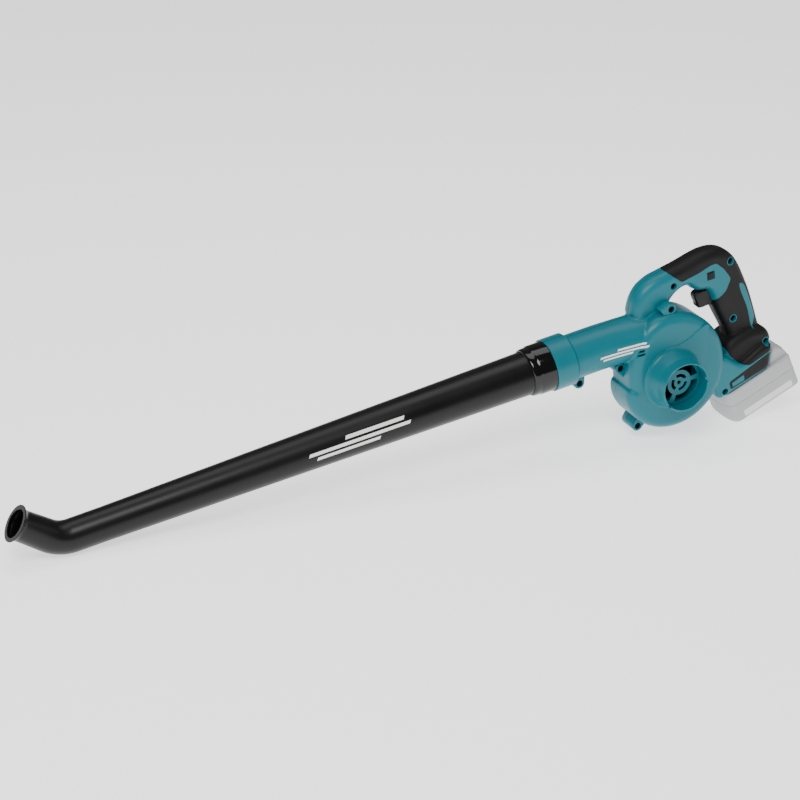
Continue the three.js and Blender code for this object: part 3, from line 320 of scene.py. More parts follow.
def rounded(points: Sequence[Pair], radius: float, steps: int = 6) -> Outline:
    """Rounds the corners of a polygon.

    Args:
        points: the corners in order.
        radius: how far from each corner the rounding starts, where its sides are long enough.
        steps: pieces in each rounded corner.

    Returns:
        The rounded outline.
    """
    corners = [Vector(p) for p in points]
    line: Outline = []
    for i, corner in enumerate(corners):
        before, after = corners[i - 1] - corner, corners[(i + 1) % len(corners)] - corner
        start = corner + before.normalized() * min(radius, before.length * 0.45)
        end = corner + after.normalized() * min(radius, after.length * 0.45)
        for step in range(steps + 1):
            t = step / steps
            line.append((1 - t) ** 2 * start + 2 * t * (1 - t) * corner + t**2 * end)
    return line


def area(outline: Outline) -> float:
    """Signed area of an outline, positive where it runs anticlockwise."""
    return sum(a.cross(b) for a, b in zip(outline, outline[1:] + outline[:1])) / 2


def shrunk(outline: Outline, distance: float) -> Outline:
    """Moves an outline inwards.

    Args:
        outline: points in order, either way round.
        distance: how far each side moves in.

    Returns:
        The moved points, as many as before.
    """
    turn = 1 if area(outline) > 0 else -1
    moved: Outline = []
    for i, point in enumerate(outline):
        before = (point - outline[i - 1]).normalized()
        after = (outline[(i + 1) % len(outline)] - point).normalized()
        first, second = (Vector((-s.y, s.x)) * turn for s in (before, after))
        share = max(1 + first.dot(second), 0.35)
        moved.append(point + (first + second) * (distance / share))
    return moved


# ------------------------------------------------------------------ stock
class Stock:
    """A closed piece of stock, in millimetres, that can be joined, fused, cut and placed."""

    def __init__(self, mesh: bmesh.types.BMesh) -> None:
        """Takes over a bmesh and turns its faces outwards."""
        bmesh.ops.remove_doubles(mesh, verts=mesh.verts[:], dist=1e-4)
        bmesh.ops.recalc_face_normals(mesh, faces=mesh.faces[:])
        self.data = bpy.data.meshes.new("stock")
        mesh.to_mesh(self.data)
        mesh.free()

    @classmethod
    def of_mesh(cls, data: bpy.types.Mesh) -> "Stock":
        """Wraps a finished mesh."""
        made = cls.__new__(cls)
        made.data = data
        return made

    @classmethod
    def as_is(cls, mesh: bmesh.types.BMesh) -> "Stock":
        """Takes over a bmesh without a change."""
        data = bpy.data.meshes.new("stock")
        mesh.to_mesh(data)
        mesh.free()
        return cls.of_mesh(data)

    @classmethod
    def slab(
        cls,
        outline: Outline,
        near: float,
        far: float,
        edges: Pair = (0.0, 0.0),
        steps: int = 7,
        holes: Sequence[Outline] = (),
    ) -> "Stock":
        """Gives outlines in XZ a thickness along Y.

        Args:
            outline: the outer outline.
            near: lowest Y.
            far: highest Y.
            edges: rounding of the rims at near and at far.
            steps: pieces in each rounding.
            holes: outlines of holes right through.

        Returns:
            The slab.
        """

        def rim(radius: float) -> list[Pair]:
            """How far along Y and how far inwards each step of a rounding is."""
            if radius <= 0:
                return [(0.0, 0.0)]
            turns = [step / steps * math.pi / 2 for step in range(steps + 1)]
            return [(radius * (1 - math.sin(a)), radius * (1 - math.cos(a))) for a in turns]

        levels = [(near + along, inset) for along, inset in reversed(rim(edges[0]))]
        levels += [(far - along, inset) for along, inset in rim(edges[1])]
        mesh = bmesh.new()
        loops = [(outline, 1.0), *((hole, -1.0) for hole in holes)]
        first: list[bmesh.types.BMVert] = []
        last: list[bmesh.types.BMVert] = []
        for loop, sign in loops:
            y, inset = levels[0]
            ring = [mesh.verts.new((p.x, y, p.y)) for p in shrunk(loop, inset * sign)]
            first += ring
            edges_now = [mesh.edges.new((a, b)) for a, b in zip(ring, ring[1:] + ring[:1])]
            for y, inset in levels[1:]:
                grown = bmesh.ops.extrude_edge_only(mesh, edges=edges_now)["geom"]
                edges_now = [g for g in grown if isinstance(g, bmesh.types.BMEdge)]
                ring = [g for g in grown if isinstance(g, bmesh.types.BMVert)]
                mesh.verts.index_update()
                ring.sort(key=lambda v: v.index)
                for vert, p in zip(ring, shrunk(loop, inset * sign)):
                    vert.co = (p.x, y, p.y)
            last += ring
        for group in (first, last):
            members = set(group)
            open_edges = [e for e in mesh.edges if members.issuperset(e.verts) and len(e.link_faces) < 2]
            bmesh.ops.triangle_fill(mesh, edges=open_edges, use_beauty=True)
        return cls(mesh)

    @classmethod
    def turned(cls, profile: Sequence[Pair], steps: int = 96, axis: str = "Y") -> "Stock":
        """Turns a closed profile, or one that ends on the axis, about Y or X.

        Args:
            profile: pairs of radius and place along the axis.
            steps: facets round the piece.
            axis: "Y" for the fan's axis, or "X".

        Returns:
            The turned piece.
        """
        mesh = bmesh.new()
        verts = [mesh.verts.new((r, y, 0)) for r, y in profile]
        chain = list(zip(verts, verts[1:]))
        if profile[0][0] > 0:
            chain.append((verts[-1], verts[0]))
        for a, b in chain:
            mesh.edges.new((a, b))
        bmesh.ops.spin(
            mesh,
            geom=mesh.verts[:] + mesh.edges[:],
            cent=(0, 0, 0),
            axis=(0, 1, 0),
            dvec=(0, 0, 0),
            angle=2 * math.pi,
            steps=steps,
            use_merge=True,
            use_duplicate=False,
        )
        if axis == "X":
            bmesh.ops.rotate(mesh, verts=mesh.verts[:], matrix=Matrix.Rotation(-math.pi / 2, 3, "Z"))
        return cls(mesh)

    @classmethod
    def box(cls, low: Sequence[float], high: Sequence[float], bevel: float = 0.0) -> "Stock":
        """A box between two corners, with its edges rounded by bevel."""
        mesh = bmesh.new()
        bmesh.ops.create_cube(mesh, size=1.0)
        size = Vector(high) - Vector(low)
        bmesh.ops.scale(mesh, verts=mesh.verts[:], vec=size)
        bmesh.ops.translate(mesh, verts=mesh.verts[:], vec=(Vector(high) + Vector(low)) / 2)
        if bevel > 0:
            settings = {"segments": 3, "profile": 0.5, "affect": "EDGES", "material": -1}
            bmesh.ops.bevel(mesh, geom=mesh.edges[:], offset=bevel, **settings)
        return cls(mesh)

    def placed(self, matrix: Matrix) -> "Stock":
        """A copy moved by a matrix."""
        data = self.data.copy()
        data.transform(matrix)
        if matrix.determinant() < 0:
            data.flip_normals()
        return Stock.of_mesh(data)

    def with_(self, *others: "Stock") -> "Stock":
        """This stock and others in one mesh, still overlapping."""
        mesh = bmesh.new()
        for part in (self, *others):
            mesh.from_mesh(part.data)
        return Stock.as_is(mesh)

    def fused(self, voxel: float, rounds: int) -> "Stock":
        """Melts overlapping stock into one skin.

        Args:
            voxel: size of the skin's facets.
            rounds: how often the skin is smoothed, which rounds its inner and outer corners.

        Returns:
            The fused stock.
        """
        steps: Steps = [("REMESH", {"mode": "VOXEL", "voxel_size": voxel, "use_smooth_shade": True})]
        if rounds:
            steps.append(("SMOOTH", {"factor": 0.5, "iterations": rounds}))
        return self._worked(steps, ())

    def cut(self, *tools: "Stock") -> "Stock":
        """This stock with the tools' shapes taken away."""
        return self._worked([], tools, "DIFFERENCE")

    def common(self, *tools: "Stock") -> "Stock":
        """What this stock shares with each tool."""
        return self._worked([], tools, "INTERSECT")

    def plus(self, *tools: "Stock") -> "Stock":
        """This stock and the tools as one solid."""
        return self._worked([], tools, "UNION")

    def _worked(self, steps: Steps, tools: Sequence["Stock"], operation: str = "") -> "Stock":
        """Runs modifiers and booleans on this stock and keeps the result as new stock."""
        scene = bpy.context.scene.collection.objects
        work = bpy.data.objects.new("work", self.data)
        scene.link(work)
        helpers = [bpy.data.objects.new("tool", tool.data) for tool in tools]
        for kind, settings in steps:
            added = work.modifiers.new(kind, kind)
            for name, value in settings.items():
                setattr(added, name, value)
        for helper in helpers:
            scene.link(helper)
            added = work.modifiers.new("cut", "BOOLEAN")
            added.operation, added.object, added.solver = operation, helper, "MANIFOLD"
        graph = bpy.context.evaluated_depsgraph_get()
        data = bpy.data.meshes.new_from_object(work.evaluated_get(graph))
        for spent in (work, *helpers):
            bpy.data.objects.remove(spent)
        return Stock.of_mesh(data)

    def largest(self) -> "Stock":
        """The biggest separate body in this stock."""
        mesh = bmesh.new()
        mesh.from_mesh(self.data)
        left = set(mesh.verts)
        groups: list[set[bmesh.types.BMVert]] = []
        while left:
            group = {left.pop()}
            edge = list(group)
            while edge:
                for link in edge.pop().link_edges:
                    for vert in link.verts:
                        if vert in left:
                            left.discard(vert)
                            group.add(vert)
                            edge.append(vert)
            groups.append(group)
        keep = max(groups, key=len)
        bmesh.ops.delete(mesh, geom=[v for v in mesh.verts if v not in keep], context="VERTS")
        return Stock.as_is(mesh)


@dataclass(frozen=True)
class Place:
    """Where the machine's own frame, in millimetres, lies in the row's frame, in metres."""

    matrix: Matrix

    @classmethod
    def from_joints(cls, joints: Sequence[Mapping[str, object]]) -> "Place":
        """Reads the fan's axis and the trigger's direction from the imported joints."""
        named = {joint["name"]: joint for joint in joints}
        along = Vector(named["trigger_pull"]["axis"])
        pitch = math.atan2(along.z, along.x)
        turned = Matrix.Rotation(-pitch, 4, "Y") @ Matrix.Scale(MM, 4)
        return cls(Matrix.Translation(Vector(named["impeller_spin"]["pos_m"])) @ turned)


@dataclass
class Bench:
    """Turns stock into finished pieces that ride on the frame's bodies."""

    place: Place
    materials: dict[Finish, bpy.types.Material] = field(default_factory=dict)
    replaced: set[str] = field(default_factory=set)

    def look(self, finish: Finish) -> bpy.types.Material:
        """The material of a finish, made once."""
        if finish not in self.materials:
            self.materials[finish] = finish.value.material()
        return self.materials[finish]

    def piece(
        self,
        name: str,
        stock: Stock,
        finish: Finish,
        body: str,
        slot: str,
        nodes: Sequence[str] = (),
        sharp: float = 40.0,
    ) -> bpy.types.Object:
        """Finishes one piece.

        Args:
            name: the piece's name.
            stock: its shape, in the machine's frame.
            finish: what it is made of.
            body: the body it rides on.
            slot: the record's material slot that the piece belongs in; not used.
            nodes: the frame's nodes that it stands for.
            sharp: edges turned by more degrees than this stay crisp.

        Returns:
            The finished object.
        """
        data = stock.data.copy()
        data.name = name
        data.transform(self.place.matrix)
        data.materials.clear()
        data.materials.append(self.look(finish))
        data.shade_smooth()
        data.set_sharp_from_angle(angle=math.radians(sharp))
        made = bpy.data.objects.new(name, data)
        bpy.context.scene.collection.objects.link(made)
        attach(made, body)
        if nodes:
            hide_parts(*nodes)
            self.replaced.update(nodes)
        data.calc_loop_triangles()
        LOG.info("%s: %d triangles", name, len(data.loop_triangles))
        return made


# ------------------------------------------------------------------ shell
@dataclass
class PackFrame:
    """The battery pack's frame in the machine: u along the slide, w out of the pack's top face."""

    origin: Pair = (81.33, -64.8)
    tilt: float = math.radians(15)

    @property
    def matrix(self) -> Matrix:
        """From the pack's frame to the machine's."""
        return at_xz(*self.origin) @ Matrix.Rotation(-self.tilt, 4, "Y")

    def point(self, u: float, w: float) -> Pair:
        """A point of the machine's XZ plane from the pack's u and w."""
        place = self.matrix @ Vector((u, 0, w))
        return place.x, place.z

    def box(self, low: Sequence[float], high: Sequence[float], bevel: float = 0.0) -> Stock:
        """A box given in the pack's frame."""
        return Stock.box(low, high, bevel).placed(self.matrix)


@dataclass
class ScrewSeat:
    """One clamshell screw: its place, the height of its seat and the lug that it stands in."""

    place: Pair
    seat: float
    lug: Pair | None = None


@dataclass
class Shell:
    """The two halves of the clamshell with their soft grips and foot panels."""

    bench: Bench
    pack: PackFrame
    start: float = 62.0
    growth: float = 31.0
    left: float = 42.0
    right: float = 20.0
    tube: float = 31.4
    tube_start: float = -139.0
    collar_rim: float = COLLAR_RIM
    collar_bore: float = 34.8
    collar: float = 36.7
    grip_half: float = 17.5
    grip_edge: float = 13.0
    foot_half: float = 38.5
    neck_half: float = 29.0
    skin: float = 2.3
    wall: float = 4.8
    voxel: float = 1.25
    parting: float = 0.3
    air_edges: Pair = (14, 7)
    neck_edge: float = 12.0
    step_root: float = -38.0
    step_face: float = -42.8
    corner: Pair = HANDLE_CORNER

    outside: tuple[Pair, ...] = (
        (-125, 6), (-118, 23), (-106, 37), (-88, 46), (-66, 50), (-42, 54), (-16, 59.5), (0, 61),
        (16, 59), (30, 52), (41, 40), (49, 24), (55, 6), (62, -18), (68, -46), (72, -68), (76, -86),
        (80, -96), (77, -110),
    )  # fmt: skip
    inside: tuple[Pair, ...] = (
        (-72, -5), (-63, 7), (-53, 15), (-42, 19), (-34, 18), (-27, 11), (-18, 5.5), (-5, 2),
        (1, -11), (4, -27), (9, -42), (16, -60), (21, -75), (19, -84), (8, -87), (-6, -86),
        (-17, -58), (-34, -36), (-55, -20),
    )  # fmt: skip
    under: tuple[Pair, ...] = ((70, -124), (12, -138), (-30, -124), (-78, -63), (-124, -16))
    neck: tuple[Pair, ...] = (
        (14, -84), (40, -74), (70, -76), (83, -92), (77, -110), (40, -130), (14, -126), (6, -104),
    )  # fmt: skip
    grip: tuple[Pair, ...] = (
        (-66, 70), (-73, 57), (-47, 31), (-17, 36), (0, 41), (9, 41), (21, 28), (30, 11), (21, -5),
        (-2, -20), (-12, -34), (4, -66), (10, -92), (14, -103), (25, -115), (38, -120), (78, -107),
        (100, -105), (100, 70),
    )  # fmt: skip
    stripe: tuple[Pair, ...] = (
        (131, 92), (139, 86), (147, 57), (151, 36), (149, 28), (145, 18), (143, 30), (140, 52),
        (132, 80),
    )  # fmt: skip

    panel: tuple[Pair, ...] = ((13, 7.5), (77, 5), (90, 25.5), (62, 23.5), (38, 21.5), (14.5, 19.5))
    tab: tuple[Pair, ...] = ((17, 9.5), (37, 9), (39, 17), (18, 16))

    @property
    def top(self) -> float:
        """Height of the volute's top above the fan's axis."""
        return self.start + self.growth

    @property
    def pipe_z(self) -> float:
        """Height of the pipe's axis above the fan's axis."""
        return self.top - self.tube

    def at(self, points: Iterable[Pair]) -> list[Pair]:
        """Points given from the handle's corner, in the machine's XZ plane."""
        return [(self.corner[0] + x, self.corner[1] + z) for x, z in points]

    @property
    def screws(self) -> list[ScrewSeat]:
        """The nine clamshell screws, in the frame's order."""
        at = self.at
        below = self.pipe_z - self.tube
        return [
            ScrewSeat((self.tube_start + 12, below - 7), -7, (0, 12)),
            ScrewSeat((-self.start - 2.5, below - 4.5), -11, (10, -8)),
            ScrewSeat((13, self.top + 4.5), -28, (-12, -6)),
            ScrewSeat(at([(-60, 29)])[0], -11),
            ScrewSeat((-50, -69), -16, (16, 18)),
            ScrewSeat(self.pack.point(4, 9.5), -20),
            ScrewSeat(at([(29, -51)])[0], -11),
            ScrewSeat(at([(32, 36.5)])[0], -10),
            ScrewSeat(at([(72, -97)])[0], -14),
        ]

    def volute_outline(self) -> Outline:
        """The scroll's side outline."""
        steps = 120
        line: Outline = []
        for i in range(steps + 1):
            turn = i / steps
            angle = math.pi * (1 + 1.5 * turn)
            radius = self.start + self.growth * turn**0.45
            line.append(Vector((radius * math.cos(angle), radius * math.sin(angle))))
        for i in range(1, 24):
            angle = i / 24 * math.pi / 2
            line.append(Vector((-self.start * math.sin(angle), self.top * math.cos(angle))))
        return line

    def duct(self, inset: float) -> Stock:
        """The outlet duct, round at the tube and as wide as the volute at its other end.

        Args:
            inset: how much smaller than the outside it is.

        Returns:
            The duct.
        """
        mesh = bmesh.new()
        radius = self.tube - inset
        steps = 14
        bmesh.ops.create_circle(mesh, cap_ends=True, radius=radius, segments=96)
        bmesh.ops.rotate(mesh, verts=mesh.verts[:], matrix=Matrix.Rotation(math.pi / 2, 3, "Y"))
        bmesh.ops.translate(mesh, verts=mesh.verts[:], vec=(-100, 0, self.pipe_z))
        face = mesh.faces[:]
        for i in range(1, steps + 1):
            grown = bmesh.ops.extrude_face_region(mesh, geom=face)["geom"]
            if i > 1:
                bmesh.ops.delete(mesh, geom=face, context="FACES_ONLY")
            face = [g for g in grown if isinstance(g, bmesh.types.BMFace)]
            ring = [g for g in grown if isinstance(g, bmesh.types.BMVert)]
            bmesh.ops.translate(mesh, verts=ring, vec=(98 / steps, 0, 0))
            share, before = ((s * s * (3 - 2 * s)) for s in (i / steps, (i - 1) / steps))
            for side, face_y in ((-1, self.left), (1, self.right)):
                grow = (face_y - inset) / radius - 1
                bmesh.ops.scale(
                    mesh,
                    verts=[v for v in ring if v.co.y * side > 1e-6],
                    vec=(1, (1 + share * grow) / (1 + before * grow), 1),
                )
        return Stock(mesh)

    def air_tube(self, radius: float, start: float, end: float, steps: int = 96) -> Stock:
        """A bar along the pipe's axis."""
        bar = Stock.turned([(0, start), (radius, start), (radius, end), (0, end)], steps, "X")
        return bar.placed(at_xz(0, self.pipe_z))

    def air_path(self, inset: float, edges: Pair) -> Stock:
        """The volute, its outlet duct and the tube, smaller by inset."""
        line = shrunk(self.volute_outline(), inset)
        scroll = Stock.slab(line, inset - self.left, self.right - inset, edges)
        return scroll.with_(self.duct(inset), self.air_tube(self.tube - inset, self.tube_start - 1, -99))

    def handle(self, inset: float, steps: int = 7) -> Stock:
        """The handle loop and its neck, smaller by inset."""
        line = smooth_line(self.at(self.outside), 7) + [Vector(p) for p in self.at(self.under)]
        hole = smooth_line(self.at(self.inside), 7, True)
        edge = self.grip_edge - inset
        half = self.grip_half - inset
        loop = Stock.slab(shrunk(line, inset), -half, half, (edge, edge), steps, [shrunk(hole, -inset)])
        neck_line = smooth_line(self.at(self.neck), 7, True)
        neck_edge = self.neck_edge - inset
        neck_half = self.neck_half - inset
        neck = Stock.slab(shrunk(neck_line, inset), -neck_half, neck_half, (neck_edge, neck_edge), steps)
        return loop.with_(neck)

    def foot(self, inset: float) -> Stock:
        """The foot that holds the pack's rails, smaller by inset."""
        corners = ((-9, 0.5), (79, 0.5), (93, 25), (96.5, 37.5), (78, 40), (41, 33), (24, 60), (-9, 64))
        line = rounded([self.pack.point(u, w) for u, w in corners], 8)
        edge = max(8 - inset, 1)
        half = self.foot_half - inset
        return Stock.slab(shrunk(line, inset), -half, half, (edge, edge), 5)

    def lug(self, screw: ScrewSeat) -> Stock:
        """The faceted ear outside the shell that a screw stands in."""
        reach = math.hypot(*screw.lug)
        turn = math.atan2(screw.lug[1], screw.lug[0])
        line = arc(8, QUARTER, math.pi, 8) + [Vector((reach, -10)), Vector((reach, 10))]
        ear = Stock.slab(line, screw.seat - 4, 12, (1.5, 1.5), 2)
        return ear.placed(at_xz(*screw.place) @ Matrix.Rotation(-turn, 4, "Y"))

    def boss(self) -> Stock:
        """The flared boss and rim of the air inlet."""
        flare = smooth_line([(45.2, -42.4), (42.6, -44.2), (40.2, -48.8), (38.0, -55), (36.2, -61)], 5)
        root = self.step_root
        profile = [(30.0, root), (45.2, root), *((p.x, p.y) for p in flare)]
        profile += [(35.7, -64), (35.7, -77.1), (35.2, -77.7), (33.7, -77.7), (33.2, -77.1)]
        profile += [(33.2, -55.9), (30, -55.9)]
        return Stock.turned(profile, 128)

    def motor_bay(self) -> Stock:
        """The rounded can on the far side that covers the motor."""
        turns = [i / 7 * QUARTER for i in range(7, -1, -1)]
        corner = [(28 + 6 * math.sin(a), 71 + 6 * math.cos(a)) for a in turns]
        return Stock.turned([(0, 17.5), (34, 17.5), *corner, (0, 77)])

    def lead_duct(self) -> Stock:
        """The duct on the far side that takes the leads to the motor."""
        line = rounded([(8, -34), self.pack.point(2, 8), self.pack.point(20, 34), (20, -6)], 4)
        return Stock.slab(line, 17.5, 41, (0, 3), 4)

    def bodywork(self) -> Stock:
        """The whole outside of the shell, fused into one skin."""
        profile = [
            (0, self.collar_rim),
            (self.collar - 0.6, self.collar_rim),
            (self.collar, self.collar_rim + 0.6),
            (self.collar, self.tube_start + 1),
            (self.tube - 0.4, self.tube_start + 5.5),
            (0, self.tube_start + 5.5),
        ]
        collar = Stock.turned(profile, axis="X").placed(at_xz(0, self.pipe_z))
        ears = [self.lug(s) for s in self.screws if s.lug]
        rough = self.air_path(0, self.air_edges).with_(self.handle(0), self.foot(0), self.lead_duct())
        return rough.fused(self.voxel, 3).plus(collar, self.motor_bay(), *ears)

    def zone(self, line: Outline, near: float = -70, far: float = 70) -> Stock:
        """A prism through the machine over an outline."""
        return Stock.slab(line, near, far)

    def step(self) -> Stock:
        """The low teardrop step round the inlet boss, running off towards the handle."""
        ring = arc(46.2, 0, 2 * math.pi, 90)[:-1]
        knots = [(-8, 45.6), (12, 47), (30, 51), (47, 59), (62, 62), (60, 48), (48, 0), (0, 0)]
        disc, tail = (
            Stock.slab(line, self.step_face, self.step_root, (0.5, 0), 3)
            for line in (ring, smooth_line(knots, 8, True))
        )
        return disc.plus(tail)

    def trigger_slot(self) -> Stock:
        """The slot that the trigger slides in."""
        (x, z), (x_end, z_end) = self.at([(-21, -25.3), (18.5, 2.3)])
        return Stock.box((x, -7.5, z), (x_end, 7.5, z_end))

    def pack_channel(self) -> Stock:
        """The channel in the foot that the pack's tongue slides in."""
        return self.pack.box((11.5, -22.5, -5), (112, 22.5, 10))

    def at_screws(self, profile: Callable[[ScrewSeat], Sequence[Pair]]) -> list[Stock]:
        """A turned shape at each screw, from the profile that its seat asks for."""
        return [Stock.turned(profile(screw), 32).placed(at_xz(*screw.place)) for screw in self.screws]

    def bores(self) -> list[Stock]:
        """Every opening that both halves share."""
        tools = [
            self.air_path(2.5, (11.5, 4.5)).fused(1.8, 0),
            Stock.turned([(0, -90), (30.5, -90), (30.5, -30), (0, -30)]),
            Stock.turned([(0, -90), (33.2, -90), (33.2, -55.9), (0, -55.9)], 128),
            self.air_tube(self.collar_bore, self.collar_rim - 4, self.tube_start),
            self.air_tube(self.tube - 2.5, self.tube_start - 1, self.tube_start + 6),
        ]
        out, head, shank, end = -80, 4.8, 2.3, 8.5
        tools += self.at_screws(
            lambda s: [(0, out), (head, out), (head, s.seat), (shank, s.seat), (shank, end), (0, end)]
        )
        return tools + [
            self.trigger_slot(),
            self.pack_channel(),
            self.pack.box((11.5, -26.5, 4), (112, 26.5, 7.5)),
            self.pack.box((69.5, -9, 9), (112, 9, 14.5)),
            self.pack.box((13.7, -20.3, 8), (44.3, 20.3, 16.5)),
        ]

    def hollow(self) -> Stock:
        """The inside of the handle, neck and foot."""
        roomy = self.handle(self.wall, 3).with_(self.foot(self.wall)).fused(2.4, 0)
        floor = self.pack.box((-20, -60, -30), (110, 60, 12.5))
        rise = self.pack.box((66.5, -12, 0), (110, 12, 17.5))
        solid_path = self.air_path(-0.6, self.air_edges).fused(2.4, 0)
        return roomy.cut(floor, rise, solid_path)

    def motor_room(self) -> Stock:
        """The inside of the motor's can."""
        return Stock.turned([(0, 20), (31.5, 20), (31.5, 71), (28, 74.5), (0, 74.5)], 64)

    def vents(self) -> list[Stock]:
        """The slots that the motor breathes through."""
        slots = []
        for i in range(9):
            spot = Matrix.Rotation(2 * math.pi * i / 9, 4, "Y")
            slots.append(Stock.box((12, 72, -1.6), (25, 82, 1.6)).placed(spot))
        for i in range(-2, 3):
            slots.append(Stock.box((-37, 30, i * 7 - 1.6), (-28, 60, i * 7 + 1.6)))
        return slots

    def columns(self, body: Stock) -> Stock:
        """The columns that the screws stand in, where they reach the skin."""
        bars = self.at_screws(lambda _: [(0, -32), (5.9, -32), (5.9, 11), (0, 11)])
        return bars[0].with_(*bars[1:]).common(body)

    def button_hole(self) -> Stock:
        """The square hole for the lock button."""
        (x, z), half = self.at([(-1, 25.7)])[0], 6.1
        return Stock.box((x - half, -40, z - half), (x + half, -2, z + half))

    def notches(self) -> list[Stock]:
        """The two notches in the inlet's rim."""
        notch = Stock.box((31.5, -81, -3.5), (37.5, -72, 3.5))
        return [notch.placed(Matrix.Rotation(-turn, 4, "Y")) for turn in (0.0, math.radians(215))]

    def louvre(self) -> list[Stock]:
        """The two slanted slots beside the inlet."""
        slots = []
        for k in (0, 1):
            line = rounded([(-k - 9, -1.5), (9 - k, -1.5), (9 + k, 1.5), (k - 9, 1.5)], 1.2, 3)
            spot = at_xz(-47, 49.5 + 4.6 * k) @ Matrix.Rotation(math.radians(-10), 4, "Y")
            slots.append(Stock.slab(line, -60, -36.5).placed(spot))
        return slots

    def in_foot(self, points: Sequence[Pair], radius: float, steps: int = 6) -> Outline:
        """A rounded outline on the foot's side, from points in the pack's frame."""
        return rounded([self.pack.point(u, w) for u, w in points], radius, steps)

    def layer(self, line: Outline, side: int, deep: float, out: float) -> Stock:
        """A prism on one side, between two distances from the parting plane."""
        return self.zone(line, *sorted((side * deep, side * out)))

    def build(self) -> None:
        """Builds the shell halves, the soft grips and the foot panels."""
        body = self.bodywork()
        LOG.info("bodywork fused")
        grip_line = rounded(self.at(self.grip), 3.5)
        panel_line = self.in_foot(self.panel, 2.5)
        tab_line = self.in_foot(self.tab, 1.2, 3)
        stripe = self.zone(smooth_line(self.stripe, 5, True))
        core = self.handle(self.skin, 6).with_(self.foot(self.skin)).fused(self.voxel, 3)
        inner = self.handle(self.skin - 0.25, 6).with_(self.foot(self.skin)).fused(self.voxel, 3)
        air = self.air_path(-0.3, self.air_edges).fused(1.6, 0)
        skin = self.zone(grip_line).cut(core, stripe, self.columns(body), air)
        wells = self.at_screws(lambda s: [(0, -80), (6.1, -80), (6.1, s.seat + 3), (0, s.seat + 3)])
        cuts = [self.hollow(), *self.bores()]
        soft_cuts = [inner, stripe, air, self.trigger_slot(), *wells, self.pack_channel()]
        own = {
            "left": [self.button_hole(), *self.notches(), *self.louvre()],
            "right": [self.motor_room(), *self.vents()],
        }
        whole = {"left": body.plus(self.boss(), self.step()), "right": body}
        face = self.foot_half
        for side, name in ((-1, "left"), (1, "right")):
            other = Stock.box(
                (-400, -self.parting if side < 0 else -300, -400),
                (400, 300 if side < 0 else self.parting, 400),
            )
            recess = self.layer(panel_line, side, face - 1.6, 60)
            half = whole[name].cut(other, skin, recess, *cuts).cut(*own[name])
            soft = self.zone(shrunk(grip_line, 0.15)).common(body).cut(other, *soft_cuts)
            plate = self.layer(shrunk(panel_line, 0.35), side, face - 1.3, 60).common(body)
            tab = self.layer(tab_line, side, face - 1, face + 0.3)
            for piece, stock, finish, slot, node, sharp in (
                ("shell", half.largest(), Finish.TEAL_ABS, "teal_plastic", "housing", MOULDED),
                ("soft_grip", soft.largest(), Finish.GRIP_TPE, "grip_rubber", "grip", MOULDED),
                ("foot_plate", plate.largest(), Finish.GRIP_TPE, "black_plastic", "foot_panel", MOULDED),
                ("foot_tab", tab, Finish.TEAL_ABS, "teal_plastic", "", CRISP),
            ):
                nodes = [f"{node}_{name}"] if node else []
                self.bench.piece(f"{piece}_{name}", stock, finish, "housing", slot, nodes, sharp)


@dataclass
class InletGuard:
    """The slotted guard inside the air inlet."""

    bench: Bench
    radius: float = 32.9
    face: float = -58.7
    thick: float = 2.5

    def build(self) -> None:
        """Builds the guard."""
        front, back = self.face, self.face + self.thick
        disc = Stock.turned(
            [(2.6, front + 0.6), (3.4, front), (self.radius, front), (self.radius, back), (2.6, back)]
        )
        slots = []
        for i in range(3):
            turn = 2 * math.pi * i / 3
            slots.append(self.window(8, 12.5, 0.35 + turn, 1.55))
            slots.append(self.window(18.5, 29.5, 0.15 + turn, 1.8))
        guard = disc.cut(*slots)
        nodes = ["inlet_guard"]
        self.bench.piece("guard", guard, Finish.TEAL_ABS, "housing", "teal_plastic", nodes, CRISP)

    def window(self, inner: float, outer: float, start: float, span: float) -> Stock:
        """A curved slot between two radii."""
        angles = [start + span * i / 24 for i in range(25)]
        line = [Vector((outer * math.cos(a), outer * math.sin(a))) for a in angles]
        line += [Vector((inner * math.cos(a), inner * math.sin(a))) for a in reversed(angles)]
        return Stock.slab(rounded([tuple(p) for p in line], 0.9, 2), self.face - 5, self.face + 6)


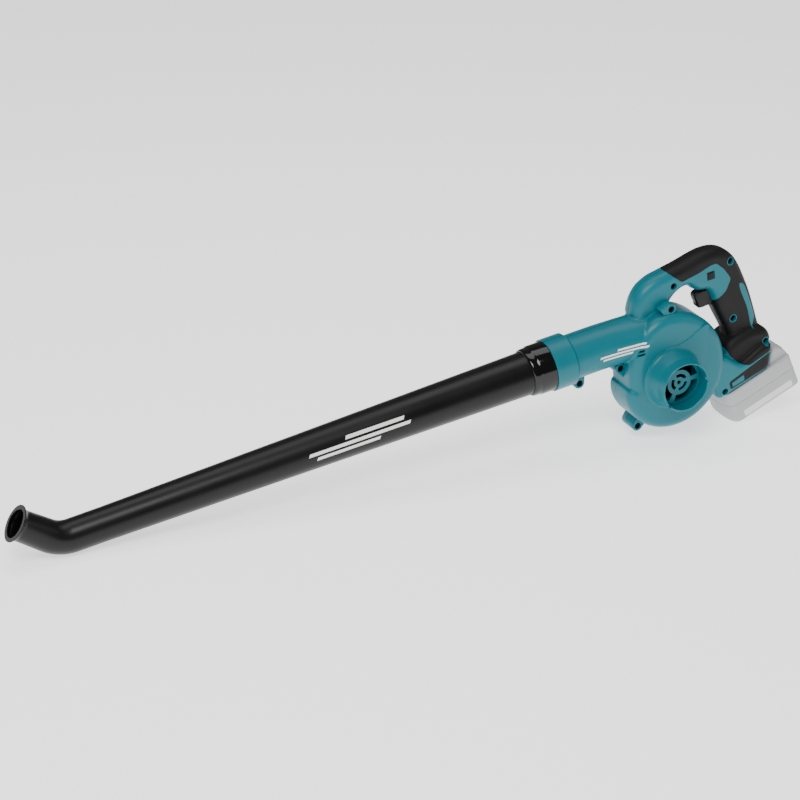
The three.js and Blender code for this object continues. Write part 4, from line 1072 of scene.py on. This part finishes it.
# ------------------------------------------------------------------ nozzle
@dataclass
class Nozzle:
    """The glossy joint sleeve and the long tapered pipe with its turned-up tip."""

    bench: Bench
    pipe_z: float = 61.6
    rim: float = COLLAR_RIM
    joint: float = 34.5
    joint_wall: float = 3.5
    back: float = -139.3
    shown: float = 33.0
    root: float = 30.2
    narrow: float = 22.1
    wall: float = 1.8
    length: float = 693.5
    tip_angle: float = math.radians(42.8)
    tip_length: float = 64.4
    tip: float = 20.4
    lip: float = 24.6
    bend: float = 46.0
    overlap: float = 25.5  # how far the pipe reaches into the joint

    def sleeve(self) -> Stock:
        """The joint's bare shape."""
        inner = self.joint - self.joint_wall
        front = self.rim - self.shown
        nose = [
            (self.joint - 0.9, self.rim - 23),
            (self.joint - 1.3, front + 3.5),
            (self.joint - 2.2, front + 1),
            (self.joint - 3.6, front),
        ]
        profile = [
            (inner, self.back),
            (self.joint - 0.5, self.back),
            (self.joint, self.back - 0.5),
            (self.joint, self.rim - 20.5),
            (self.joint - 0.25, self.rim - 21.2),
            *((p.x, p.y) for p in smooth_line(nose, 5)),
            (self.root + 0.3, front + 0.2),
            (self.root + 0.3, front + 26),
            (inner, front + 26.6),
        ]
        return Stock.turned(profile, 128, "X").placed(at_xz(0, self.pipe_z))

    @property
    def cutback(self) -> float:
        """What the bend takes off each of the two straights that meet in it."""
        return self.bend * math.tan(self.tip_angle / 2)

    @property
    def centre(self) -> Vector:
        """The middle of the bend's circle."""
        return Vector((self.rim - (self.length - self.cutback), 0, self.pipe_z + self.bend))

    @property
    def along(self) -> Vector:
        """The way that the tip points."""
        return Vector((-math.cos(self.tip_angle), 0, math.sin(self.tip_angle)))

    def pipe(self) -> Stock:
        """The pipe, drawn out of its root ring, bent at the elbow and flared at the mouth."""
        mesh = bmesh.new()
        bmesh.ops.create_circle(mesh, cap_ends=False, radius=self.root, segments=96)
        bmesh.ops.rotate(mesh, verts=mesh.verts[:], matrix=Matrix.Rotation(-math.pi / 2, 3, "Y"))
        start = self.rim - self.shown + self.overlap
        bmesh.ops.translate(mesh, verts=mesh.verts[:], vec=(start, 0, self.pipe_z))
        loop = mesh.edges[:]
        straight = self.length - self.cutback
        tip_straight = self.tip_length - self.cutback
        turn_length = self.bend * self.tip_angle
        taper_end = self.length - 60
        taper_start = self.shown + 3
        here, radius = self.shown - self.overlap, self.root

        def drawn(
            edges: list[bmesh.types.BMEdge],
        ) -> tuple[list[bmesh.types.BMEdge], list[bmesh.types.BMVert]]:
            """Extrudes a loop of edges and returns the new loop and its vertices."""
            grown = bmesh.ops.extrude_edge_only(mesh, edges=edges)["geom"]
            return (
                [g for g in grown if isinstance(g, bmesh.types.BMEdge)],
                [g for g in grown if isinstance(g, bmesh.types.BMVert)],
            )

        def swell(ring: list[bmesh.types.BMVert], factor: float) -> None:
            """Scales a ring about its own middle."""
            middle = sum((v.co for v in ring), Vector()) / len(ring)
            bmesh.ops.scale(mesh, verts=ring, vec=(factor,) * 3, space=Matrix.Translation(-middle))

        taper = taper_end - taper_start
        for s in (taper_start, *(taper_start + taper * i / 24 for i in range(1, 25)), straight):
            share = (s - taper_start) / taper
            goal = self.root + (self.narrow - self.root) * min(max(share, 0), 1)
            loop, ring = drawn(loop)
            bmesh.ops.translate(mesh, verts=ring, vec=(here - s, 0, 0))
            swell(ring, goal / radius)
            here, radius = s, goal
        steps = 14
        turn = Matrix.Rotation(self.tip_angle / steps, 3, "Y")
        for i in range(1, steps + 1):
            share = i / steps * turn_length / (turn_length + tip_straight)
            goal = self.narrow + (self.tip - self.narrow) * share
            loop, ring = drawn(loop)
            bmesh.ops.rotate(mesh, verts=ring, cent=self.centre, matrix=turn)
            swell(ring, goal / radius)
            radius = goal
        flare = (
            (9, self.tip), (6, self.tip + 0.5), (4, self.tip + 1.5), (2.4, self.tip + 3.0),
            (1.3, self.lip - 0.2), (0.8, self.lip), (0.2, self.lip), (0, self.lip - 0.3),
        )  # fmt: skip
        gone = 0.0
        for left, goal in flare:
            s = tip_straight - left
            loop, ring = drawn(loop)
            bmesh.ops.translate(mesh, verts=ring, vec=self.along * (s - gone))
            swell(ring, goal / radius)
            gone, radius = s, goal
        bmesh.ops.recalc_face_normals(mesh, faces=mesh.faces[:])
        bmesh.ops.solidify(mesh, geom=mesh.faces[:], thickness=self.wall)
        return Stock(mesh)

    def lip_face(self) -> Stock:
        """The flat ring round the mouth, which gives the flare its thick edge."""
        down = Vector((-math.sin(self.tip_angle), 0, -math.cos(self.tip_angle)))
        mouth = self.centre + down * self.bend + self.along * (self.tip_length - self.cutback)
        bore = self.tip - self.wall + 0.1
        profile = [(bore, 5), (bore + 0.9, 5), (self.lip - 1.2, 1.4), (self.lip - 0.6, 0.1)]
        profile += [(bore + 0.5, 0.1), (bore, 0.6)]
        spot = Matrix.Translation(mouth) @ Matrix.Rotation(self.tip_angle, 4, "Y")
        return Stock.turned(profile, axis="X").placed(spot)

    def build(self) -> None:
        """Builds the joint and the pipe."""
        pipe = self.pipe().plus(self.lip_face())
        for name, stock, finish, slot, node in (
            ("joint_sleeve", self.sleeve(), Finish.SLEEVE_ABS, "gloss_black_plastic", "nozzle_joint"),
            ("long_pipe", pipe, Finish.PIPE_PP, "satin_black_plastic", "nozzle_pipe"),
        ):
            self.bench.piece(name, stock, finish, "nozzle", slot, [node], MOULDED)


# ------------------------------------------------------------------ controls and screws
@dataclass
class Controls:
    """The trigger and the lock button in the handle."""

    bench: Bench
    corner: Pair = HANDLE_CORNER
    half: float = 7.0
    finger_side: tuple[Pair, ...] = (
        (-12, 1.4), (-19, 0.9), (-22.8, -3.2), (-22, -9.5), (-20, -15.5), (-19.6, -20), (-17, -23.6),
        (-11, -24.4),
    )  # fmt: skip

    def build(self) -> None:
        """Builds the trigger and the button."""
        x, z = self.corner
        line = smooth_line([(x + p, z + q) for p, q in self.finger_side], 7)
        line += [Vector((x + 11, z - 23.5)), Vector((x + 11, z + 1.5))]
        lever = Stock.slab(line, -self.half, self.half, (2.6, 2.6), 6)
        stop = Stock.box((x + 9.4, -8.6, z - 19), (x + 11, 8.6, z - 6), 0.3)
        profile = [(0, x + 10), (2, x + 10), (2, x + 29.4), (1.4, x + 29.9), (0, x + 29.9)]
        rod = Stock.turned(profile, 24, "X")
        trigger = lever.plus(stop, rod.placed(at_xz(0, z - 12)))

        bx, bz = x - 1, z + 25.7
        cap = Stock.box((bx - 5.9, -17.3, bz - 5.9), (bx + 5.9, -8, bz + 5.9), 0.8)
        pad = Stock.box((bx - 4.7, -18.3, bz - 4.7), (bx + 4.7, -16, bz + 4.7), 0.9)
        grooves = [
            Stock.box((bx - 5.5, -19, bz + k - 0.5), (bx + 5.5, -17.9, bz + k + 0.5))
            for k in (-2.8, -0.9, 0.9, 2.8)
        ]
        button = cap.plus(pad).cut(*grooves)
        for name, stock, body in (
            ("trigger_lever", trigger, "trigger"),
            ("lock_cap", button, "lock_button"),
        ):
            self.bench.piece(name, stock, Finish.BLACK_NYLON, body, "black_plastic", [body], MOULDED)


@dataclass
class Fasteners:
    """The clamshell screws: black pan heads with a six-lobed recess."""

    bench: Bench
    screws: Sequence[ScrewSeat]
    tip: float = 7.0

    def build(self) -> None:
        """Builds one screw in each seat."""
        turns = [2 * math.pi * i / 72 for i in range(72)]
        star = [Vector((math.cos(a), math.sin(a))) * (1.75 + 0.3 * math.cos(6 * a)) for a in turns]
        recess = Stock.slab(star, -4, -1.2)
        rim = [i / 8 * QUARTER for i in range(8)]
        dome = [(4.1 * math.cos(a), -1.7 - 1.25 * math.sin(a)) for a in rim]
        for number, screw in enumerate(self.screws, 1):
            length = self.tip - screw.seat
            shank = [(0, length), (1.4, length - 0.4), (2, length - 2), (2, 0)]
            profile = [*shank, (4.1, 0), *dome, (0, -2.95)]
            made = Stock.turned(profile, 40).cut(recess).placed(at_xz(*screw.place, screw.seat - 0.3))
            nodes = [f"housing_screw_{number}"]
            self.bench.piece(
                f"screw_{number}", made, Finish.SCREW_STEEL, "housing", "dark_steel", nodes, CRISP
            )


# ------------------------------------------------------------------ battery
@dataclass
class Battery:
    """The slide-on pack: upper case with its tongue and hump, tub, label and latch."""

    bench: Bench
    pack: PackFrame
    length: float = 116.0
    half: float = 37.5
    height: float = 52.0
    wall: float = 2.4
    parting: float = -22.0

    def plan(self) -> Outline:
        """The pack's outline from above."""
        rear, turns = 7.0, [i / 8 * QUARTER for i in range(9)]
        end, side = self.length - rear, self.half - rear
        line = [Vector((end + rear * math.sin(a), -side - rear * math.cos(a))) for a in turns]
        line += [Vector((end + rear * math.cos(a), side + rear * math.sin(a))) for a in turns]
        knots = ((14.0, self.half), (1.0, self.half - 0.5), (0.0, 18.0), (0.0, 0.0))
        front = []
        for i in range(17):
            t = i / 16
            weights = ((1 - t) ** 3, 3 * t * (1 - t) ** 2, 3 * t * t * (1 - t), t**3)
            front.append(Vector([sum(w * k[n] for w, k in zip(weights, knots)) for n in (0, 1)]))
        line += front
        line += [Vector((p.x, -p.y)) for p in reversed(front[:-1])]
        return line

    def slice(self, low: float, high: float, edges: Pair, inset: float = 0.0) -> Stock:
        """The plan between two heights, in the pack's frame."""
        flat = Stock.slab(shrunk(self.plan(), inset), -high, -low, (edges[1], edges[0]), 6)
        return flat.placed(Matrix.Rotation(-math.pi / 2, 4, "X"))

    def hump(self, inset: float, half: float, edge: float) -> Stock:
        """The rounded hump at the rear of the pack."""
        points = ((84, -10), (84, 1), (94, 19), (103, 18.5), (111, 12), (116, 0), (116, -10))
        corners = [Vector(p) for p in points]
        line = rounded(shrunk(corners, inset), max(5 - inset, 2.5))
        return Stock.slab(line, -half, half, (edge, edge), 5)

    def keep(
        self, name: str, stock: Stock, finish: Finish, nodes: Sequence[str] = (), sharp: float = 40.0
    ) -> None:
        """Finishes a piece of the pack that was made in the pack's frame."""
        made = stock.placed(self.pack.matrix)
        self.bench.piece(name, made, finish, "battery", "grey_plastic", nodes, sharp)

    def build(self) -> None:
        """Builds the pack's cases, labels and latch."""
        outer = self.slice(self.parting, 0, (0.4, 2.4)).plus(self.hump(0, 31, 4))
        shell = outer.cut(
            self.slice(self.parting - 4, -self.wall, (0, 0), self.wall),
            self.hump(self.wall, 31 - self.wall, 1.6),
            Stock.box((86.6, -28, -6), (self.length - self.wall, 28, 3)),
        )
        flanges = Stock.box((12, -26, 4.5), (90, 26, 7), 0.4)
        tongue = Stock.box((12, -22, -1), (90, 22, 9), 0.6).plus(flanges)
        shell = shell.plus(tongue).cut(
            Stock.box((14.4, -19.6, -6), (95, 19.6, 6.6)),
            *(Stock.box((8, y, 1.5), (41, y + 5, 10)) for y in (-13.5, 8.5)),
            Stock.box((68.5, -8.8, 3), (78.5, 8.8, 10)),
            Stock.box((self.length - 8, -15.4, -19.5), (self.length + 3, 15.4, 2.6)),
        )
        self.keep("pack_top", shell.largest(), Finish.PACK_GREY, ["battery_case_upper"], MOULDED)
        tub = self.slice(-self.height, self.parting - 0.3, (3, 0.4))
        tub = tub.cut(self.slice(-self.height + self.wall, self.parting + 4, (1, 0), self.wall))
        tub = tub.plus(Stock.box((102.5, -4, -self.height + 1), (108, 4, -13)))
        self.keep("pack_tub", tub, Finish.PACK_GREY, ["battery_case_lower"], MOULDED)
        band = rounded([(20, -48), (104, -48), (104, -38), (20, -38)], 2.5)
        for name, near in (("left", -self.half - 0.15), ("right", self.half - 0.15)):
            self.keep(f"pack_label_{name}", Stock.slab(band, near, near + 0.3), Finish.PACK_LABEL)
        hook = ((70, 0.5), (110, 0.5), (110, 3.2), (77, 3.2), (77, 13), (74.8, 13), (70, 8))
        arm = Stock.slab([Vector(p) for p in hook], -7, 7).plus(Stock.box((104, -7, -3), (110, 7, 3.2)))
        face = Stock.box((108.5, -15, -14), (117.5, 15, 1.8), 0.9)
        grooves = [
            Stock.box((116.9, -12, w - 0.45), (119, 12, w + 0.45)) for w in (-11, -8.5, -6, -3.5, -1)
        ]
        latch = arm.plus(face).cut(*grooves).placed(self.pack.matrix)
        body = "battery_latch"
        self.bench.piece("pack_latch", latch, Finish.BLACK_NYLON, body, "black_plastic", [body], CRISP)


# ------------------------------------------------------------------ springs
@dataclass(frozen=True)
class Coil:
    """A compression spring: the body that pushes it, the joint that shortens it, and its sizes."""

    name: str
    body: str
    joint: str
    radius: float
    turns: int
    length: float
    wire: float
    travel: float
    home: Matrix  # its pushed end, with Z along the spring
    pushed_start: bool = True  # whether the pushed end is the one at Z = 0

    def stock(self) -> Stock:
        """Winds the wire."""
        mesh = bmesh.new()
        steps = self.turns * 28
        bmesh.ops.create_circle(mesh, cap_ends=False, radius=self.wire, segments=12)
        bmesh.ops.rotate(mesh, verts=mesh.verts[:], matrix=Matrix.Rotation(math.pi / 2, 3, "X"))
        bmesh.ops.translate(mesh, verts=mesh.verts[:], vec=(self.radius, 0, self.wire))
        bmesh.ops.spin(
            mesh,
            geom=mesh.verts[:] + mesh.edges[:],
            cent=(0, 0, 0),
            axis=(0, 0, 1),
            dvec=(0, 0, (self.length - 2 * self.wire) / steps),
            angle=2 * math.pi * self.turns,
            steps=steps,
            use_duplicate=False,
        )
        bmesh.ops.holes_fill(mesh, edges=mesh.edges[:], sides=0)
        return Stock(mesh).placed(self.home)


@dataclass
class Springs:
    """The three springs, each riding on the body that pushes it."""

    bench: Bench
    pack: PackFrame
    corner: Pair = HANDLE_CORNER

    def build(self) -> None:
        """Winds the springs and puts each on the body that pushes it."""
        x, z = self.corner
        push = at_xz(x + 11.3, z - 12) @ Matrix.Rotation(math.pi / 2, 4, "Y")
        press = at_xz(x - 1, z + 25.7, -7.7) @ Matrix.Rotation(-math.pi / 2, 4, "X")
        lift = self.pack.matrix @ Matrix.Translation((105.2, 0, -12.7))
        coils = (
            Coil("trigger_spring", "trigger", "trigger_pull", 3.4, 5, 12.4, 0.5, 7, push),
            Coil("lock_spring", "lock_button", "lock_press", 3.0, 4, 5.4, 0.4, 3, press),
            Coil("latch_spring", "battery_latch", "latch_press", 2.6, 4, 9.4, 0.45, 4.5, lift, False),
        )
        for coil in coils:
            made = self.bench.piece(
                f"wound_{coil.name}", coil.stock(), Finish.STEEL, coil.body, "steel", [coil.name], ROUND
            )
            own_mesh(made)


# ------------------------------------------------------------------ marks
@dataclass
class Marks:
    """Plain pad-printed marks of three slanted bars, on the pipe and on the outlet tube."""

    bench: Bench

    def bars(self, length: float, height: float, lean: float) -> Stock:
        """Three slanted bars in XZ, one above another, each longer than the last.

        Args:
            length: how long the mark is.
            height: how tall it is.
            lean: how far each bar's top runs ahead of its foot, by its height.

        Returns:
            The sheet, with its lower left corner at the origin.
        """
        mesh = bmesh.new()
        bar = height * 0.22
        for row, (start, end) in enumerate(((0.1, 0.72), (0.0, 1.0), (0.34, 0.92))):
            made = bmesh.ops.create_grid(mesh, x_segments=60, y_segments=4, size=0.5)["verts"]
            bmesh.ops.rotate(mesh, verts=made, matrix=Matrix.Rotation(math.pi / 2, 3, "X"))
            bmesh.ops.scale(mesh, verts=made, vec=((end - start) * length, 1, bar))
            middle = ((start + end) / 2 * length, 0, bar / 2 + row * (height - bar) / 2)
            bmesh.ops.translate(mesh, verts=made, vec=middle)
        shear = Matrix(((1, 0, lean, 0), (0, 1, 0, 0), (0, 0, 1, 0), (0, 0, 0, 1)))
        bmesh.ops.transform(mesh, verts=mesh.verts[:], matrix=shear)
        return Stock.as_is(mesh)

    def printed(self, name: str, sheet: Stock, on: bpy.types.Object, body: str, slot: str) -> None:
        """Lays a flat mark on a piece's near side, a tenth of a millimetre proud."""
        made = self.bench.piece(name, sheet, Finish.PAD_WHITE, body, slot)
        wrap = made.modifiers.new("lay", "SHRINKWRAP")
        wrap.target, wrap.wrap_method, wrap.wrap_mode = on, "PROJECT", "ABOVE_SURFACE"
        wrap.use_project_x, wrap.use_project_y, wrap.use_project_z = False, True, False
        wrap.use_negative_direction, wrap.use_positive_direction = False, True
        wrap.offset = 0.1 * MM

    def build(self) -> None:
        """Builds both marks."""
        objects = bpy.data.objects
        tube = self.bars(70, 12, 0.6).placed(at_xz(-105, 55, -70))
        self.printed("tube_mark", tube, objects["shell_left"], "housing", "teal_plastic")
        pipe = self.bars(144, 19, 0.6).placed(at_xz(-534, 58, -70))
        self.printed("pipe_mark", pipe, objects["long_pipe"], "nozzle", "satin_black_plastic")


# ------------------------------------------------------------------ what stays of the frame
@dataclass
class Innards:
    """The frame's own nodes that stay: fan, motor, switch, leads, cells, board and terminals."""

    bench: Bench
    nodes: Mapping[str, bpy.types.Object]

    def finish_of(self, name: str) -> Finish:
        """The finish of a node, from what it is."""
        groups = {
            Finish.BLACK_NYLON: ("impeller", "motor_end_cap", "switch_body", "terminal_block"),
            Finish.CORE_STEEL: ("motor_magnet", "armature_core"),
            Finish.COPPER: ("armature_winding", "commutator", "terminal_positive", "terminal_negative"),
            Finish.CARBON: ("carbon_brush_1", "carbon_brush_2"),
            Finish.PCB: ("battery_board",),
            Finish.LEAD_RED: ("lead_battery_positive",),
            Finish.LEAD_BLACK: ("lead_battery_negative",),
            Finish.LEAD_YELLOW: ("lead_motor_1",),
            Finish.LEAD_WHITE: ("lead_motor_2",),
        }
        if name.startswith("battery_cell"):
            return Finish.CELL_WRAP
        return next((finish for finish, names in groups.items() if name in names), Finish.STEEL)

    def build(self) -> None:
        """Dresses every node that no piece stands for."""
        for name, node in self.nodes.items():
            if name in self.bench.replaced:
                continue
            for place in node.material_slots:
                place.material = self.bench.look(self.finish_of(name))
            LOG.info("%s: %s", name, self.finish_of(name).value.name)


# ------------------------------------------------------------------ studio
@dataclass
class Studio:
    """A pale floor, soft boxes and the camera."""

    eye: tuple[float, float, float] = (-1.01436, -2.16585, 1.25186)
    target: tuple[float, float, float] = (-0.04912, -0.0254, 0.13528)
    lens: float = 90.0
    floor_glow: float = 1.15  # lifts the paper to near white without more light on the machine

    def floor(self) -> None:
        """Lays the floor."""
        mesh = bmesh.new()
        bmesh.ops.create_grid(mesh, x_segments=1, y_segments=1, size=20.0)
        data = bpy.data.meshes.new("floor")
        mesh.to_mesh(data)
        mesh.free()
        paper, _, shader = new_material("pale_paper")
        shader.inputs["Base Color"].default_value = linear("#f3f3f3")
        shader.inputs["Roughness"].default_value = 0.9
        shader.inputs["Emission Color"].default_value = linear("#ffffff")
        shader.inputs["Emission Strength"].default_value = self.floor_glow
        data.materials.append(paper)
        made = bpy.data.objects.new("floor", data)
        made.location.z = -0.0005
        bpy.context.scene.collection.objects.link(made)

    def hang(self, name: str, data: bpy.types.ID, place: Sequence[float]) -> bpy.types.Object:
        """Puts a lamp or the camera in its place, facing the machine."""
        made = bpy.data.objects.new(name, data)
        made.location = place
        aim = Vector(self.target) - Vector(place)
        made.rotation_euler = aim.to_track_quat("-Z", "Y").to_euler()
        bpy.context.scene.collection.objects.link(made)
        return made

    def lamp(self, name: str, place: Sequence[float], size: Pair, power: float) -> None:
        """Hangs one soft box that faces the machine."""
        data = bpy.data.lights.new(name, "AREA")
        data.shape, data.size, data.size_y, data.energy = "RECTANGLE", size[0], size[1], power
        self.hang(name, data, place)

    def build(self) -> None:
        """Sets up the floor, the lights and the camera."""
        self.floor()
        self.lamp("key_box", (-1.2, -1.6, 2.6), (2.0, 1.2), 80)
        self.lamp("top_box", (0.2, 0.5, 2.8), (3.0, 1.4), 34)
        self.lamp("side_box", (2.4, -1.4, 1.3), (1.4, 1.6), 7)
        world = bpy.data.worlds.new("studio")
        world.use_nodes = True
        sky = world.node_tree.nodes["Background"]
        sky.inputs["Color"].default_value = linear("#ffffff")
        sky.inputs["Strength"].default_value = 0.2
        bpy.context.scene.world = world
        data = bpy.data.cameras.new("camera")
        data.lens, data.sensor_width = self.lens, 36.0
        data.clip_start, data.clip_end = 0.05, 60.0
        bpy.context.scene.camera = self.hang("camera", data, self.eye)


def main() -> None:
    """Builds every sub-assembly in order."""
    bench = Bench(Place.from_joints(frame["joints"]))
    pack = PackFrame()
    shell = Shell(bench, pack)
    builders: list[tuple[str, Callable[[], None]]] = [
        ("shell", shell.build),
        ("guard", InletGuard(bench).build),
        ("nozzle", Nozzle(bench).build),
        ("controls", Controls(bench).build),
        ("fasteners", Fasteners(bench, shell.screws).build),
        ("battery", Battery(bench, pack).build),
        ("springs", Springs(bench, pack).build),
        ("marks", Marks(bench).build),
        ("innards", Innards(bench, frame["nodes"]).build),
        ("studio", Studio().build),
    ]
    for name, build in builders:
        LOG.info("building %s", name)
        build()


if __name__ == "__main__":
    main()
